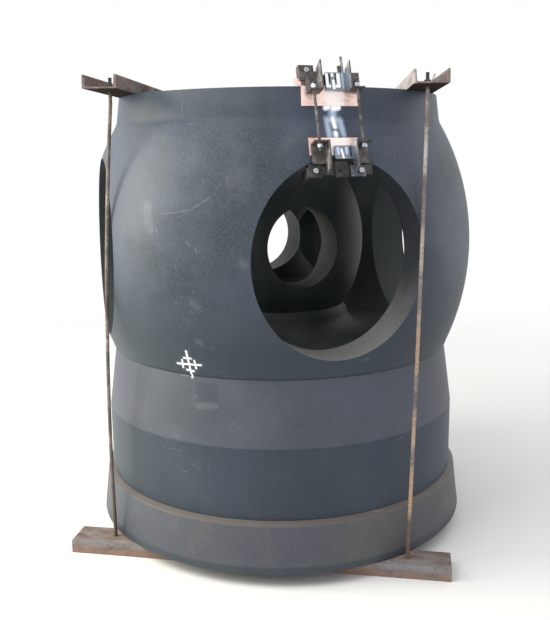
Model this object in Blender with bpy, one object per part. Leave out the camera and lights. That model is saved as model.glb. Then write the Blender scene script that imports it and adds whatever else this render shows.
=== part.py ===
"""Runner hub of a water turbine, stored upright in a lashing frame, with a clamp over one blade bore.

Metres, +Z up. The hub's axis is Z, the floor is Z = 0, and the blade bores open along -Y, +X, +Y and -X.
"""

import math

import bmesh
import bpy
from mathutils import Matrix, Vector

# Driving dimensions of the hub, with heights measured up from the underside of its base
SEAT_GAP = 0.0003
BEAM_HEIGHT = 0.056
HUB_BASE = BEAM_HEIGHT + SEAT_GAP

BASE_RADIUS = 0.8777
SHOULDER_OUTER_RADIUS = 0.858
SHOULDER_INNER_RADIUS = 0.834
SHOULDER_LOW = 0.1955
SHOULDER_HIGH = 0.2083
BARREL_WIDEST_RADIUS = 0.8405
BARREL_WIDEST = 0.509
BARREL_TOP_RADIUS = 0.808
SKIRT_INNER_RADIUS = 0.70

SPHERE_LOW = 0.787
SPHERE_LOW_RADIUS = 0.8167
SPHERE_LOW_ROUNDING = 0.010
BELLY_START = 0.045
SPHERE_MID = 1.288
BELLY_RADIUS = 0.925
BELLY_HALF_HEIGHT = 1.0366
SPHERE_TOP = 1.78
NECK_LOW = 1.845
NECK_LOW_RADIUS = 0.7805
RIM_RADIUS = 0.767
HUB_HEIGHT = 1.969
EDGE_BREAK = 0.004

# Inside of the casting: shell wall, floor plate and the bearing boss
SHELL_INNER_RADIUS = 0.757
SHELL_INNER_HALF_HEIGHT = 0.85
CAVITY_FLOOR = 0.845
CAVITY_TOP = 1.72
CEILING_THICKNESS = 0.02
FLOOR_FILLET_RISE = 0.065
FLOOR_FILLET_WIDTH = 0.04
TOP_OPENING_RADIUS = 0.56
BOSS_RADIUS = 0.414
BOSS_HALF_HEIGHT = 0.505
BOSS_LOW = 0.965
BOSS_TOP = 1.64
BOSS_FOOT_RADIUS = 0.47
BOSS_WAIST_RADIUS = 0.335
BOSS_FOOT_RISE = 0.09
BOSS_SEAT = CAVITY_FLOOR + BOSS_FOOT_RISE
ROD_PASSAGE_RADIUS = 0.13
BOSS_CHAMBER_RADIUS = 0.222
BOSS_CHAMBER_LOW = 1.056
BOSS_CHAMBER_HIGH = 1.496
CHAMBER_BEVEL = 0.03

# Blade bores through the shell and bearing bores through the boss, a little taller than wide
BORE_MID = 1.276
BORE_RADIUS = 0.369
BEARING_RADIUS = 0.1665
BORE_STRETCH = 1.112
BORE_START = 0.50
BORE_END = 1.05
BEARING_REACH = 0.47

TURN_SEGMENTS = 72
BORE_SEGMENTS = 56

# Lashing frame: two channels on the rim, two beams under the base, four tie rods
LASHING_TURN = math.radians(-20.7)
BEAM_SKEW = math.radians(-5.73)
CHANNEL_WIDTH = 0.140
CHANNEL_WEB = 0.007
CHANNEL_LEG = 0.009
CHANNEL_LEG_TAPER = 0.003
CHANNEL_LENGTH = 1.60
CHANNEL_OFFSET = 0.66
BEAM_LENGTH = 1.652
BEAM_DISTANCE = 0.6335
BEAM_SHIFT = 0.0633
ROD_RADIUS = 0.008
ROD_SIDES = 12
ROD_BEND_STEPS = 16
ROD_TOP_REACH = 0.635
ROD_FOOT_REACH = 0.647
ROD_STRAIGHT_END = 0.05
ROD_TOP_STUB = 0.050
ROD_FOOT_STUB = 0.008
ROD_HOLE_RADIUS = 0.011
ROD_HOLE_HALF_HEIGHT = 0.05
ROD_BELLY_GAP = 0.0006
BELLY_ANGLES = {"left": math.radians(-138.3), "right": math.radians(-47.25)}
NUT_RADIUS = 0.0145
NUT_HEIGHT = 0.013
NUT_CLEARANCE = 0.0003
WASHER_SIDE = 0.046
WASHER_THICKNESS = 0.006

# Clamp over the front bore: X runs along the wall, "out" away from it, "up" along the threaded rods
CLAMP_TILT = math.radians(16.85)
STRAP_THICKNESS = 0.002
STRAP_SPAN = (-0.050, 0.047)
STRAP_DROP = (0.035, 0.270)
PAD_THICKNESS = 0.003
PAD_OFFSET = STRAP_THICKNESS + 2 * SEAT_GAP
PAD_RADIUS = 0.80
TOP_PAD_SPAN = (-0.136, 0.115)
TOP_PAD_DROP = 0.0795
TOP_PAD_FLAP = 0.0315
BOTTOM_PAD_SPAN = (-0.117, 0.082)
BOTTOM_PAD_DROP = (0.2075, 0.2765)
JAW_THICKNESS = 0.012
PLATE = 0.006
BRACKET_REACH = 0.058
CLAMP_ROD_OUT = 0.040
CLAMP_ROD_X = {"left": -0.093, "right": 0.090}
CLAMP_ROD_RADIUS = 0.006
CLAMP_ROD_STUB = 0.012
CLAMP_NUT_RADIUS = 0.013
CLAMP_NUT_HEIGHT = 0.020
TOP_SHELF = {"left": -0.036, "right": -0.028}
BOTTOM_SHELF = -0.250
RIGHT_LEG = {"top": 0.057, "bottom": 0.050}
BAR_DEPTH = 0.032
BAR_RISE = 0.043
TOP_BAR_SPAN = (-0.130, 0.118)
BOTTOM_BAR_END = 0.132

# The brackets lie in one plane, just clear of the fold of the upper pad, and the end plates behind it
PAD_FOLD = (PAD_OFFSET + PAD_THICKNESS) * math.cos(CLAMP_TILT) + (
    SEAT_GAP + PAD_THICKNESS
) * math.sin(CLAMP_TILT)
CLAMP_BACK = PAD_FOLD + SEAT_GAP
END_PLATE_BACK = CLAMP_BACK - SEAT_GAP - PLATE
BAR_FRONT = END_PLATE_BACK - SEAT_GAP

RIM_TOP = HUB_BASE + HUB_HEIGHT
CHANNEL_BOTTOM = RIM_TOP + SEAT_GAP


def clear_scene():
    for obj in list(bpy.data.objects):
        bpy.data.objects.remove(obj)


def material(name, colour, roughness, metallic):
    made = bpy.data.materials.new(name)
    made.use_nodes = True
    shader = made.node_tree.nodes["Principled BSDF"]
    shader.inputs["Base Color"].default_value = (*colour, 1.0)
    shader.inputs["Roughness"].default_value = roughness
    shader.inputs["Metallic"].default_value = metallic
    return made


def add_object(name, bm, finish, parent=None):
    """A new object from a bmesh, with its faces turned outward."""
    bmesh.ops.recalc_face_normals(bm, faces=bm.faces[:])
    mesh = bpy.data.meshes.new(name)
    bm.to_mesh(mesh)
    bm.free()
    mesh.materials.append(finish)
    obj = bpy.data.objects.new(name, mesh)
    bpy.context.scene.collection.objects.link(obj)
    obj.parent = parent
    return obj


def make_helper(obj):
    obj.hide_render = True
    obj.display_type = "WIRE"
    return obj


def cut(obj, cutter, operation="DIFFERENCE"):
    modifier = obj.modifiers.new(cutter.name, "BOOLEAN")
    modifier.operation = operation
    modifier.solver = "EXACT"
    modifier.object = make_helper(cutter)
    return obj


def turned(profile, segments=TURN_SEGMENTS):
    """A closed (radius, height) profile turned about Z."""
    bm = bmesh.new()
    rings = []
    for step in range(segments):
        angle = 2 * math.pi * step / segments
        across, along = math.cos(angle), math.sin(angle)
        rings.append([bm.verts.new((r * across, r * along, z)) for r, z in profile])
    for step in range(segments):
        here, there = rings[step], rings[(step + 1) % segments]
        for low in range(len(profile)):
            high = (low + 1) % len(profile)
            bm.faces.new((here[low], there[low], there[high], here[high]))
    return bm


def prism(outline, low, high):
    """An (x, y) outline raised from one height to another."""
    bm = bmesh.new()
    bottom = [bm.verts.new((x, y, low)) for x, y in outline]
    top = [bm.verts.new((x, y, high)) for x, y in outline]
    bm.faces.new(bottom)
    bm.faces.new(top)
    for here in range(len(outline)):
        there = (here + 1) % len(outline)
        bm.faces.new((bottom[here], bottom[there], top[there], top[here]))
    return bm


def block(low, high):
    corners = ((low[0], low[1]), (high[0], low[1]), (high[0], high[1]), (low[0], high[1]))
    return prism(corners, low[2], high[2])


def ring_prism(outer, inner, low, high):
    """A plate with a hole: outer and inner outlines have the same number of points."""
    bm = bmesh.new()
    loops = [
        [bm.verts.new((x, y, z)) for x, y in outline]
        for outline, z in ((outer, low), (outer, high), (inner, high), (inner, low))
    ]
    for side in range(4):
        here, there = loops[side], loops[(side + 1) % 4]
        for point in range(len(outer)):
            following = (point + 1) % len(outer)
            bm.faces.new((here[point], here[following], there[following], there[point]))
    return bm


def circle(radius, sides=ROD_SIDES):
    return [
        (radius * math.cos(2 * math.pi * k / sides), radius * math.sin(2 * math.pi * k / sides))
        for k in range(sides)
    ]


def regular_outline(corners, radius, points):
    """A regular polygon given with extra points along its sides, so that it can face a circle."""
    apothem = radius * math.cos(math.pi / corners)
    outline = []
    for k in range(points):
        angle = 2 * math.pi * k / points
        off_centre = (angle + math.pi / corners) % (2 * math.pi / corners) - math.pi / corners
        reach = apothem / math.cos(math.pi / corners - abs(off_centre))
        outline.append((reach * math.cos(angle), reach * math.sin(angle)))
    return outline


def swept(path, radius, sides=ROD_SIDES):
    """A round bar along a path that runs mostly up and down."""
    bm = bmesh.new()
    rings = []
    for index, point in enumerate(path):
        before, after = path[max(index - 1, 0)], path[min(index + 1, len(path) - 1)]
        along = (after - before).normalized()
        across = Vector((1, 0, 0))
        across = (across - across.dot(along) * along).normalized()
        third = along.cross(across)
        rings.append([
            bm.verts.new(point + radius * (math.cos(a) * across + math.sin(a) * third))
            for a in (2 * math.pi * k / sides for k in range(sides))
        ])
    for here, there in zip(rings, rings[1:]):
        for k in range(sides):
            following = (k + 1) % sides
            bm.faces.new((here[k], here[following], there[following], there[k]))
    bm.faces.new(rings[0])
    bm.faces.new(rings[-1])
    return bm


def moved(bm, matrix):
    bmesh.ops.transform(bm, matrix=matrix, verts=bm.verts[:])
    return bm


def raised(profile):
    return [(r, z + HUB_BASE) for r, z in profile]


def oval_radius(height, radius, half_height):
    return radius * math.sqrt(1 - ((height - SPHERE_MID) / half_height) ** 2)


def steps(first, last, count):
    return [first + (last - first) * k / (count - 1) for k in range(count)]


def outer_profile():
    """The casting's outside, from its underside up to the rim."""
    low = [
        (SPHERE_LOW_RADIUS - SPHERE_LOW_ROUNDING, SPHERE_LOW),
        (SPHERE_LOW_RADIUS, SPHERE_LOW + SPHERE_LOW_ROUNDING),
    ]
    belly = [
        (oval_radius(z, BELLY_RADIUS, BELLY_HALF_HEIGHT), z)
        for z in steps(SPHERE_LOW + BELLY_START, SPHERE_TOP, 13)
    ]
    neck = [
        (NECK_LOW_RADIUS, NECK_LOW),
        (RIM_RADIUS, HUB_HEIGHT - EDGE_BREAK),
        (RIM_RADIUS - EDGE_BREAK, HUB_HEIGHT),
    ]
    return low + belly + neck


def quarter_arc(start, end, count):
    """Points of a hollow fillet that leaves its start level and reaches its end upright."""
    return [
        (start[0] + (end[0] - start[0]) * math.sin(a), start[1] + (end[1] - start[1]) * (1 - math.cos(a)))
        for a in steps(0, math.pi / 2, count)
    ]


def inner_profile():
    """The casting's inside, from the rim down the shell, over the floor and up the boss's foot."""
    mouth = [(TOP_OPENING_RADIUS, HUB_HEIGHT), (TOP_OPENING_RADIUS, CAVITY_TOP + CEILING_THICKNESS)]
    shell = [
        (oval_radius(z, SHELL_INNER_RADIUS, SHELL_INNER_HALF_HEIGHT), z)
        for z in steps(CAVITY_TOP, CAVITY_FLOOR + FLOOR_FILLET_RISE, 9)
    ]
    floor_edge = [(shell[-1][0] - FLOOR_FILLET_WIDTH, CAVITY_FLOOR)]
    foot = quarter_arc((BOSS_FOOT_RADIUS, CAVITY_FLOOR), (BOSS_WAIST_RADIUS, BOSS_SEAT), 5)
    passage = [(ROD_PASSAGE_RADIUS, BOSS_SEAT), (ROD_PASSAGE_RADIUS, SPHERE_LOW)]
    return mouth + shell + floor_edge + foot + passage


def boss_profile():
    """The bearing boss on its foot: its outside up to its top, then down through its chamber."""
    outside = [(BOSS_WAIST_RADIUS, BOSS_SEAT + SEAT_GAP)] + [
        (oval_radius(z, BOSS_RADIUS, BOSS_HALF_HEIGHT), z) for z in steps(BOSS_LOW, BOSS_TOP, 10)
    ]
    passage = [
        (ROD_PASSAGE_RADIUS, BOSS_TOP),
        (ROD_PASSAGE_RADIUS, BOSS_CHAMBER_HIGH + CHAMBER_BEVEL),
        (BOSS_CHAMBER_RADIUS, BOSS_CHAMBER_HIGH),
        (BOSS_CHAMBER_RADIUS, BOSS_CHAMBER_LOW),
        (ROD_PASSAGE_RADIUS, BOSS_CHAMBER_LOW - CHAMBER_BEVEL),
        (ROD_PASSAGE_RADIUS, BOSS_SEAT + SEAT_GAP),
    ]
    return outside + passage


def bore_cutter(name, radius, near, far, turn, finish):
    """A bore's void, lying along the radius at the given turn about Z."""
    bm = prism(circle(radius, BORE_SEGMENTS), near, far)
    lie_down = Matrix.Rotation(math.pi / 2, 4, "X")
    taller = Matrix.Scale(BORE_STRETCH, 4, (0, 0, 1))
    place = Matrix.Translation((0, 0, HUB_BASE + BORE_MID))
    moved(bm, place @ Matrix.Rotation(turn, 4, "Z") @ taller @ lie_down)
    return add_object(name, bm, finish)


def bore_edge(x):
    """Height above the floor that the flats of the front bore's arch keep to, off its middle by x."""
    flats = BORE_RADIUS * math.cos(math.pi / BORE_SEGMENTS)
    return HUB_BASE + BORE_MID + BORE_STRETCH * math.sqrt(flats ** 2 - x ** 2)


def build_hub(paint):
    casting = add_object("hub_casting", turned(raised(outer_profile() + inner_profile())), paint)
    for number in range(4):
        turn = number * math.pi / 2
        cut(casting, bore_cutter(
            f"blade_bore_void_{number}", BORE_RADIUS, BORE_START, BORE_END, turn, paint,
        ))
    return casting


def build_boss(paint):
    boss = add_object("bearing_boss", turned(raised(boss_profile())), paint)
    for number in range(2):
        turn = number * math.pi / 2
        cut(boss, bore_cutter(
            f"bearing_void_{number}", BEARING_RADIUS, -BEARING_REACH, BEARING_REACH, turn, paint,
        ))
    return boss


def build_lower_barrel(paint):
    profile = [
        (SKIRT_INNER_RADIUS, SHOULDER_HIGH + SEAT_GAP),
        (SHOULDER_INNER_RADIUS, SHOULDER_HIGH + SEAT_GAP),
        (BARREL_WIDEST_RADIUS, BARREL_WIDEST),
        (BARREL_TOP_RADIUS, SPHERE_LOW - SEAT_GAP),
        (SKIRT_INNER_RADIUS, SPHERE_LOW - SEAT_GAP),
    ]
    return add_object("lower_barrel", turned(raised(profile)), paint)


def build_base_ring(paint):
    profile = [
        (SKIRT_INNER_RADIUS, 0.0),
        (BASE_RADIUS - EDGE_BREAK, 0.0),
        (BASE_RADIUS, EDGE_BREAK),
        (SHOULDER_OUTER_RADIUS, SHOULDER_LOW),
        (SHOULDER_INNER_RADIUS, SHOULDER_HIGH),
        (SKIRT_INNER_RADIUS, SHOULDER_HIGH),
    ]
    return add_object("base_ring", turned(raised(profile)), paint)


def channel_section(leg_direction):
    """Half-open channel section as (across, height), web at height 0, legs up (1) or down (-1)."""
    half, rise = CHANNEL_WIDTH / 2, BEAM_HEIGHT
    return [
        (-half, 0.0),
        (half, 0.0),
        (half, leg_direction * rise),
        (half - CHANNEL_LEG, leg_direction * rise),
        (half - CHANNEL_LEG - CHANNEL_LEG_TAPER, leg_direction * CHANNEL_WEB),
        (-half + CHANNEL_LEG + CHANNEL_LEG_TAPER, leg_direction * CHANNEL_WEB),
        (-half + CHANNEL_LEG, leg_direction * rise),
        (-half, leg_direction * rise),
    ]


def channel(name, length, leg_direction, finish, parent):
    """A length of channel lying along its own X, with its web's back at its own height 0."""
    bm = prism(channel_section(leg_direction), -length / 2, length / 2)
    moved(bm, Matrix(((0, 0, 1, 0), (1, 0, 0, 0), (0, 1, 0, 0), (0, 0, 0, 1))))
    return add_object(name, bm, finish, parent)


def rod_hole(name, centre, parent, finish):
    hole = prism(circle(ROD_HOLE_RADIUS), -ROD_HOLE_HALF_HEIGHT, ROD_HOLE_HALF_HEIGHT)
    bm = moved(hole, Matrix.Translation(centre))
    return add_object(name, bm, finish, parent)


def beam_point(side, end):
    """Where a tie rod meets a bottom beam: side -1 is the front beam, end -1 its left end."""
    middle = Vector((side * BEAM_SHIFT, side * BEAM_DISTANCE, 0))
    along = Vector((math.cos(BEAM_SKEW), math.sin(BEAM_SKEW), 0))
    return middle + end * ROD_FOOT_REACH * along


def tie_rod_path(side, end):
    """Straight down through the channel, round the belly and straight down into the beam."""
    hand = "left" if end == side else "right"
    top = Vector((end * CHANNEL_OFFSET, side * ROD_TOP_REACH, 0))
    foot = beam_point(side, end)
    reach = BELLY_RADIUS + ROD_RADIUS + ROD_BELLY_GAP
    angle = BELLY_ANGLES[hand] if side < 0 else BELLY_ANGLES[hand] + math.pi
    belly = Vector((reach * math.cos(angle), reach * math.sin(angle), 0))
    top_height, foot_height = CHANNEL_BOTTOM - ROD_STRAIGHT_END, BEAM_HEIGHT + ROD_STRAIGHT_END
    middle = (top_height - HUB_BASE - SPHERE_MID) / (top_height - foot_height)
    path = [top + Vector((0, 0, CHANNEL_BOTTOM + CHANNEL_WEB + ROD_TOP_STUB))]
    for share in steps(0, 1, ROD_BEND_STEPS + 1):
        weights = (
            (share - middle) * (share - 1) / middle,
            share * (share - 1) / (middle * (middle - 1)),
            share * (share - middle) / (1 - middle),
        )
        flat = weights[0] * top + weights[1] * belly + weights[2] * foot
        path.append(Vector((flat.x, flat.y, top_height + (foot_height - top_height) * share)))
    path.append(foot + Vector((0, 0, BEAM_HEIGHT - CHANNEL_WEB - NUT_HEIGHT - ROD_FOOT_STUB)))
    return path


def nut(name, centre, radius, height, hole, finish, parent):
    bm = ring_prism(regular_outline(6, radius, ROD_SIDES), circle(hole), 0, height)
    return add_object(name, moved(bm, Matrix.Translation(centre)), finish, parent)


def build_lashing(rust, bright):
    frame = bpy.data.objects.new("lashing_frame", None)
    bpy.context.scene.collection.objects.link(frame)
    frame.rotation_euler.z = LASHING_TURN
    for end, hand in ((-1, "left"), (1, "right")):
        top = channel(f"top_channel_{hand}", CHANNEL_LENGTH, 1, rust, frame)
        top.rotation_euler.z = math.pi / 2
        top.location = (end * CHANNEL_OFFSET, 0, CHANNEL_BOTTOM)
        for side, place in ((-1, "front"), (1, "back")):
            cut(top, rod_hole(
                f"channel_hole_{place}_{hand}",
                (end * CHANNEL_OFFSET, side * ROD_TOP_REACH, CHANNEL_BOTTOM), frame, rust,
            ))
    for side, place in ((-1, "front"), (1, "back")):
        beam = channel(f"bottom_beam_{place}", BEAM_LENGTH, -1, rust, frame)
        beam.rotation_euler.z = BEAM_SKEW
        middle = (beam_point(side, -1) + beam_point(side, 1)) / 2
        beam.location = (middle.x, middle.y, BEAM_HEIGHT)
        for end, hand in ((-1, "left"), (1, "right")):
            foot = beam_point(side, end)
            cut(beam, rod_hole(
                f"beam_hole_{place}_{hand}", (foot.x, foot.y, BEAM_HEIGHT), frame, rust,
            ))
    for side, place in ((-1, "front"), (1, "back")):
        for end, hand in ((-1, "left"), (1, "right")):
            build_tie_rod(f"{place}_{hand}", side, end, rust, bright, frame)


def build_tie_rod(label, side, end, rust, bright, frame):
    path = tie_rod_path(side, end)
    add_object(f"tie_rod_{label}", swept(path, ROD_RADIUS), rust, frame)
    hole = ROD_RADIUS + NUT_CLEARANCE
    web_top = CHANNEL_BOTTOM + CHANNEL_WEB + SEAT_GAP
    at_top = Vector((path[0].x, path[0].y, web_top))
    plate = ring_prism(
        regular_outline(4, WASHER_SIDE / math.sqrt(2), ROD_SIDES), circle(hole), 0, WASHER_THICKNESS
    )
    add_object(f"washer_plate_{label}", moved(plate, Matrix.Translation(at_top)), rust, frame)
    on_plate = at_top + Vector((0, 0, WASHER_THICKNESS + SEAT_GAP))
    nut(f"top_nut_{label}", on_plate, NUT_RADIUS, NUT_HEIGHT, hole, bright, frame)
    under_web = Vector((
        path[-1].x, path[-1].y, BEAM_HEIGHT - CHANNEL_WEB - SEAT_GAP - NUT_HEIGHT,
    ))
    nut(f"foot_nut_{label}", under_web, NUT_RADIUS, NUT_HEIGHT, hole, rust, frame)


def facet_share(angle):
    """How far in the flats of the turned casting lie, as a share of its radius."""
    pitch = 2 * math.pi / TURN_SEGMENTS
    off_middle = angle % pitch - pitch / 2
    return math.cos(pitch / 2) / math.cos(off_middle)


def wrapped(section, left, right):
    """A (radius, height) section carried round the hub's flats from one X to another."""
    pitch = 2 * math.pi / TURN_SEGMENTS
    first, last = left / PAD_RADIUS, right / PAD_RADIUS
    corners = [k * pitch for k in range(math.ceil(first / pitch), math.floor(last / pitch) + 1)]
    bm = bmesh.new()
    rings = []
    for angle in [first, *corners, last]:
        share = facet_share(angle)
        rings.append([
            bm.verts.new((r * share * math.sin(angle), -r * share * math.cos(angle), z))
            for r, z in section
        ])
    for here, there in zip(rings, rings[1:]):
        for low in range(len(section)):
            high = (low + 1) % len(section)
            bm.faces.new((here[low], there[low], there[high], here[high]))
    bm.faces.new(rings[0])
    bm.faces.new(rings[-1])
    return bm


def surface_radius(height):
    """The casting's outer radius at a height above the floor."""
    profile = outer_profile()
    level = height - HUB_BASE
    for (r_low, z_low), (r_high, z_high) in zip(profile, profile[1:]):
        if z_low <= level <= z_high:
            return r_low + (r_high - r_low) * (level - z_low) / (z_high - z_low)
    raise ValueError(f"no surface at height {height}")


def skin(low, high, offset):
    """(radius, height) points that follow the casting's outside at a small distance, going up."""
    corners = [z + HUB_BASE for _, z in outer_profile() if low < z + HUB_BASE < high]
    return [(surface_radius(z) + offset, z) for z in (low, *corners, high)]


def build_strap(bright):
    """A thin bright strip that follows the wall, from under the upper pad to under the lower one."""
    high, low = (RIM_TOP - drop for drop in STRAP_DROP)
    section = skin(low, high, SEAT_GAP) + skin(low, high, SEAT_GAP + STRAP_THICKNESS)[::-1]
    add_object("tension_strap", wrapped(section, *STRAP_SPAN), bright)


def build_pads(copper):
    near, far = PAD_OFFSET, PAD_OFFSET + PAD_THICKNESS
    apron = (RIM_TOP - TOP_PAD_DROP, RIM_TOP - EDGE_BREAK)
    on_rim, above = RIM_TOP + SEAT_GAP, RIM_TOP + SEAT_GAP + PAD_THICKNESS
    flap_end = RIM_RADIUS - TOP_PAD_FLAP
    top = (
        skin(*apron, near)
        + [(RIM_RADIUS + near, on_rim), (flap_end, on_rim)]
        + [(flap_end, above), (RIM_RADIUS + far, above)]
        + skin(*apron, far)[::-1]
    )
    add_object("copper_pad_top", wrapped(top, *TOP_PAD_SPAN), copper)
    high, low = (RIM_TOP - drop for drop in BOTTOM_PAD_DROP)
    bottom = skin(low, high, near) + skin(low, high, far)[::-1]
    add_object("copper_pad_bottom", wrapped(bottom, *BOTTOM_PAD_SPAN), copper)


def clamp_plane(out, height):
    """Distance from the hub's axis, at a height, of a plane this far out of the clamp's base plane."""
    return RIM_RADIUS + (RIM_TOP - height) * math.tan(CLAMP_TILT) + out / math.cos(CLAMP_TILT)


def lay_along_x(bm):
    """Turns a prism raised along Z from a (-out, up) outline so that it runs along X."""
    return moved(bm, Matrix(((0, 0, 1, 0), (1, 0, 0, 0), (0, 1, 0, 0), (0, 0, 0, 1))))


def side_leg(left, right, outline):
    """An upright plate facing along X, from its (out, up) outline."""
    return lay_along_x(prism([(-out, up) for out, up in outline], left, right))


def slab(name, span, rise, back, thickness, finish, frame):
    """A plate parallel to the wall, in the clamp's frame."""
    bm = block((span[0], -back - thickness, rise[0]), (span[1], -back, rise[1]))
    return add_object(name, bm, finish, frame)


def bracket(name, hand, span, rise, shelf_low, leg, finish, frame):
    """A plate on the wall, a shelf that holds the rod and a leg that stands out beside the jaws."""
    back = CLAMP_BACK
    leg_left, outline = leg
    made = slab(name, span, rise, back, PLATE, finish, frame)
    root = back + PLATE / 2
    shelf = block(
        (span[0], -back - BRACKET_REACH, shelf_low), (span[1], -root, shelf_low + PLATE)
    )
    cut(made, add_object(f"{name}_shelf", shelf, finish, frame), "UNION")
    standing = [(root if out == 0 else back + out, up) for out, up in outline]
    leg_mesh = side_leg(leg_left, leg_left + PLATE, standing)
    cut(made, add_object(f"{name}_leg", leg_mesh, finish, frame), "UNION")
    hole = moved(
        prism(circle(CLAMP_ROD_RADIUS + SEAT_GAP), shelf_low - PLATE, shelf_low + 2 * PLATE),
        Matrix.Translation((CLAMP_ROD_X[hand], -CLAMP_ROD_OUT, 0)),
    )
    return cut(made, add_object(f"{name}_rod_hole", hole, finish, frame))


def build_brackets(steel, frame):
    """Each leg is given by its left face and an (out, up) outline whose out of 0 is on the wall."""
    reach = BRACKET_REACH
    left, right = TOP_SHELF["left"], TOP_SHELF["right"]
    bracket(
        "clamp_bracket_top_left", "left", (-0.115, -0.060), (left, 0.058), left,
        (-0.066, [(0, left), (reach, left), (reach, 0.088), (0, 0.070)]), steel, frame,
    )
    bracket(
        "clamp_bracket_top_right", "right", (RIGHT_LEG["top"], 0.116), (right, 0.055), right,
        (RIGHT_LEG["top"], [(0, right), (reach, right), (reach, 0.087), (0, 0.066)]), steel, frame,
    )
    low = BOTTOM_SHELF
    bracket(
        "clamp_bracket_bottom_left", "left", (-0.120, -0.058), (-0.326, low + PLATE), low,
        (-0.064, [(0, low), (reach, low), (reach, -0.340), (0, -0.366)]), steel, frame,
    )
    bracket(
        "clamp_bracket_bottom_right", "right", (RIGHT_LEG["bottom"], 0.118), (-0.325, low + PLATE), low,
        (
            RIGHT_LEG["bottom"],
            [(0, low), (0.02, -0.232), (reach, low), (reach, -0.346), (0, -0.366)],
        ),
        steel, frame,
    )


def bar(name, span, depth, rise, finish):
    """A bar along X between two heights above the floor, with its front in the clamp's plane."""
    low, high = rise
    section = [
        (clamp_plane(BAR_FRONT, low) - depth, low),
        (clamp_plane(BAR_FRONT, low), low),
        (clamp_plane(BAR_FRONT, high), high),
        (clamp_plane(BAR_FRONT, low) - depth, high),
    ]
    bm = prism([(-radius, height) for radius, height in section], *span)
    add_object(name, lay_along_x(bm), finish)


def build_clamp_bars(steel):
    seat = RIM_TOP + PAD_THICKNESS + 2 * SEAT_GAP
    bar("clamp_bar_top", TOP_BAR_SPAN, BAR_DEPTH, (seat, seat + BAR_RISE), steel)
    arch = bore_edge(BOTTOM_BAR_END) - SEAT_GAP
    span = (-BOTTOM_BAR_END, BOTTOM_BAR_END)
    bar("clamp_bar_bottom", span, 2 * BAR_DEPTH, (arch - BAR_RISE, arch), steel)


def build_end_plates(steel, frame):
    """Plates and angles on the fronts of the two clamp bars, behind the brackets' plane."""
    flat = {
        "end_plate_bottom_centre": ((-0.029, 0.028), (-0.379, -0.312)),
        "end_plate_bottom_right": ((0.037, 0.100), (-0.377, -0.332)),
    }
    for name, (span, rise) in flat.items():
        slab(name, span, rise, END_PLATE_BACK, PLATE, steel, frame)
    angles = {
        "end_plate_top_left": ((-0.137, -0.074), (0.022, 0.086), 0.030),
        "end_plate_bottom_left": ((-0.142, -0.085), (-0.380, -0.338), 0.075),
    }
    for name, (span, rise, depth) in angles.items():
        angle = slab(name, span, rise, END_PLATE_BACK, PLATE, steel, frame)
        front = END_PLATE_BACK + PLATE / 2
        leg = side_leg(
            span[0], span[0] + PLATE,
            [(front, rise[0]), (front, rise[1]), (front - depth, rise[1]), (front - depth, rise[0])],
        )
        cut(angle, add_object(f"{name}_leg", leg, steel, frame), "UNION")


def build_jaws(bright, frame):
    """Bright blocks that press the pads on, each against the right bracket beside it."""
    for place, left, rise in (("top", -0.033, (-0.022, 0.052)), ("bottom", -0.027, (-0.309, -0.254))):
        span = (left, RIGHT_LEG[place] - SEAT_GAP)
        slab(f"clamp_jaw_{place}", span, rise, CLAMP_BACK, JAW_THICKNESS, bright, frame)
    slab("locating_tongue", (0.044, 0.056), (0.012, 0.128), END_PLATE_BACK, PLATE / 2, bright, frame)


def build_clamp_rods(bright, frame):
    for hand, x in CLAMP_ROD_X.items():
        spot = Vector((x, -CLAMP_ROD_OUT, 0))
        shelf_top = TOP_SHELF[hand] + PLATE
        high = shelf_top + CLAMP_NUT_HEIGHT + CLAMP_ROD_STUB
        low = BOTTOM_SHELF - CLAMP_NUT_HEIGHT - CLAMP_ROD_STUB
        path = [spot + Vector((0, 0, height)) for height in (high, low)]
        add_object(f"clamp_rod_{hand}", swept(path, CLAMP_ROD_RADIUS), bright, frame)
        hole = CLAMP_ROD_RADIUS + NUT_CLEARANCE
        above = spot + Vector((0, 0, shelf_top + SEAT_GAP))
        below = spot + Vector((0, 0, BOTTOM_SHELF - SEAT_GAP - CLAMP_NUT_HEIGHT))
        for place, centre in (("top", above), ("bottom", below)):
            nut(
                f"clamp_nut_{place}_{hand}", centre, CLAMP_NUT_RADIUS, CLAMP_NUT_HEIGHT, hole,
                bright, frame,
            )


def build_clamp(steel, bright, copper):
    frame = bpy.data.objects.new("clamp_frame", None)
    bpy.context.scene.collection.objects.link(frame)
    frame.location = (0, -RIM_RADIUS, RIM_TOP)
    frame.rotation_euler.x = -CLAMP_TILT
    build_strap(bright)
    build_pads(copper)
    build_jaws(bright, frame)
    build_brackets(steel, frame)
    build_clamp_bars(steel)
    build_end_plates(steel, frame)
    build_clamp_rods(bright, frame)


def main():
    clear_scene()
    primer = material("grey_primer", (0.105, 0.118, 0.135), 0.5, 0.0)
    lower_primer = material("dark_primer", (0.085, 0.098, 0.108), 0.5, 0.0)
    rust = material("rusty_steel", (0.16, 0.105, 0.075), 0.8, 0.2)
    bright = material("worn_steel", (0.30, 0.29, 0.27), 0.5, 0.8)
    dark = material("dark_steel", (0.07, 0.065, 0.06), 0.6, 0.5)
    copper = material("copper_sheet", (0.80, 0.45, 0.34), 0.35, 0.9)
    build_hub(primer)
    build_boss(primer)
    build_lower_barrel(lower_primer)
    build_base_ring(lower_primer)
    build_lashing(rust, bright)
    build_clamp(dark, bright, copper)


main()
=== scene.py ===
"""Looks of an upright turbine runner hub, its lashing of channels and tie rods, and the clamp over its bore.

Metres, +Z up. The hub's axis is Z, the floor is Z = 0, and the clamp hangs over the bore that opens
along -Y. The sizes and colours are at the top, then the finishes, then each piece with its operator.
"""

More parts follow.
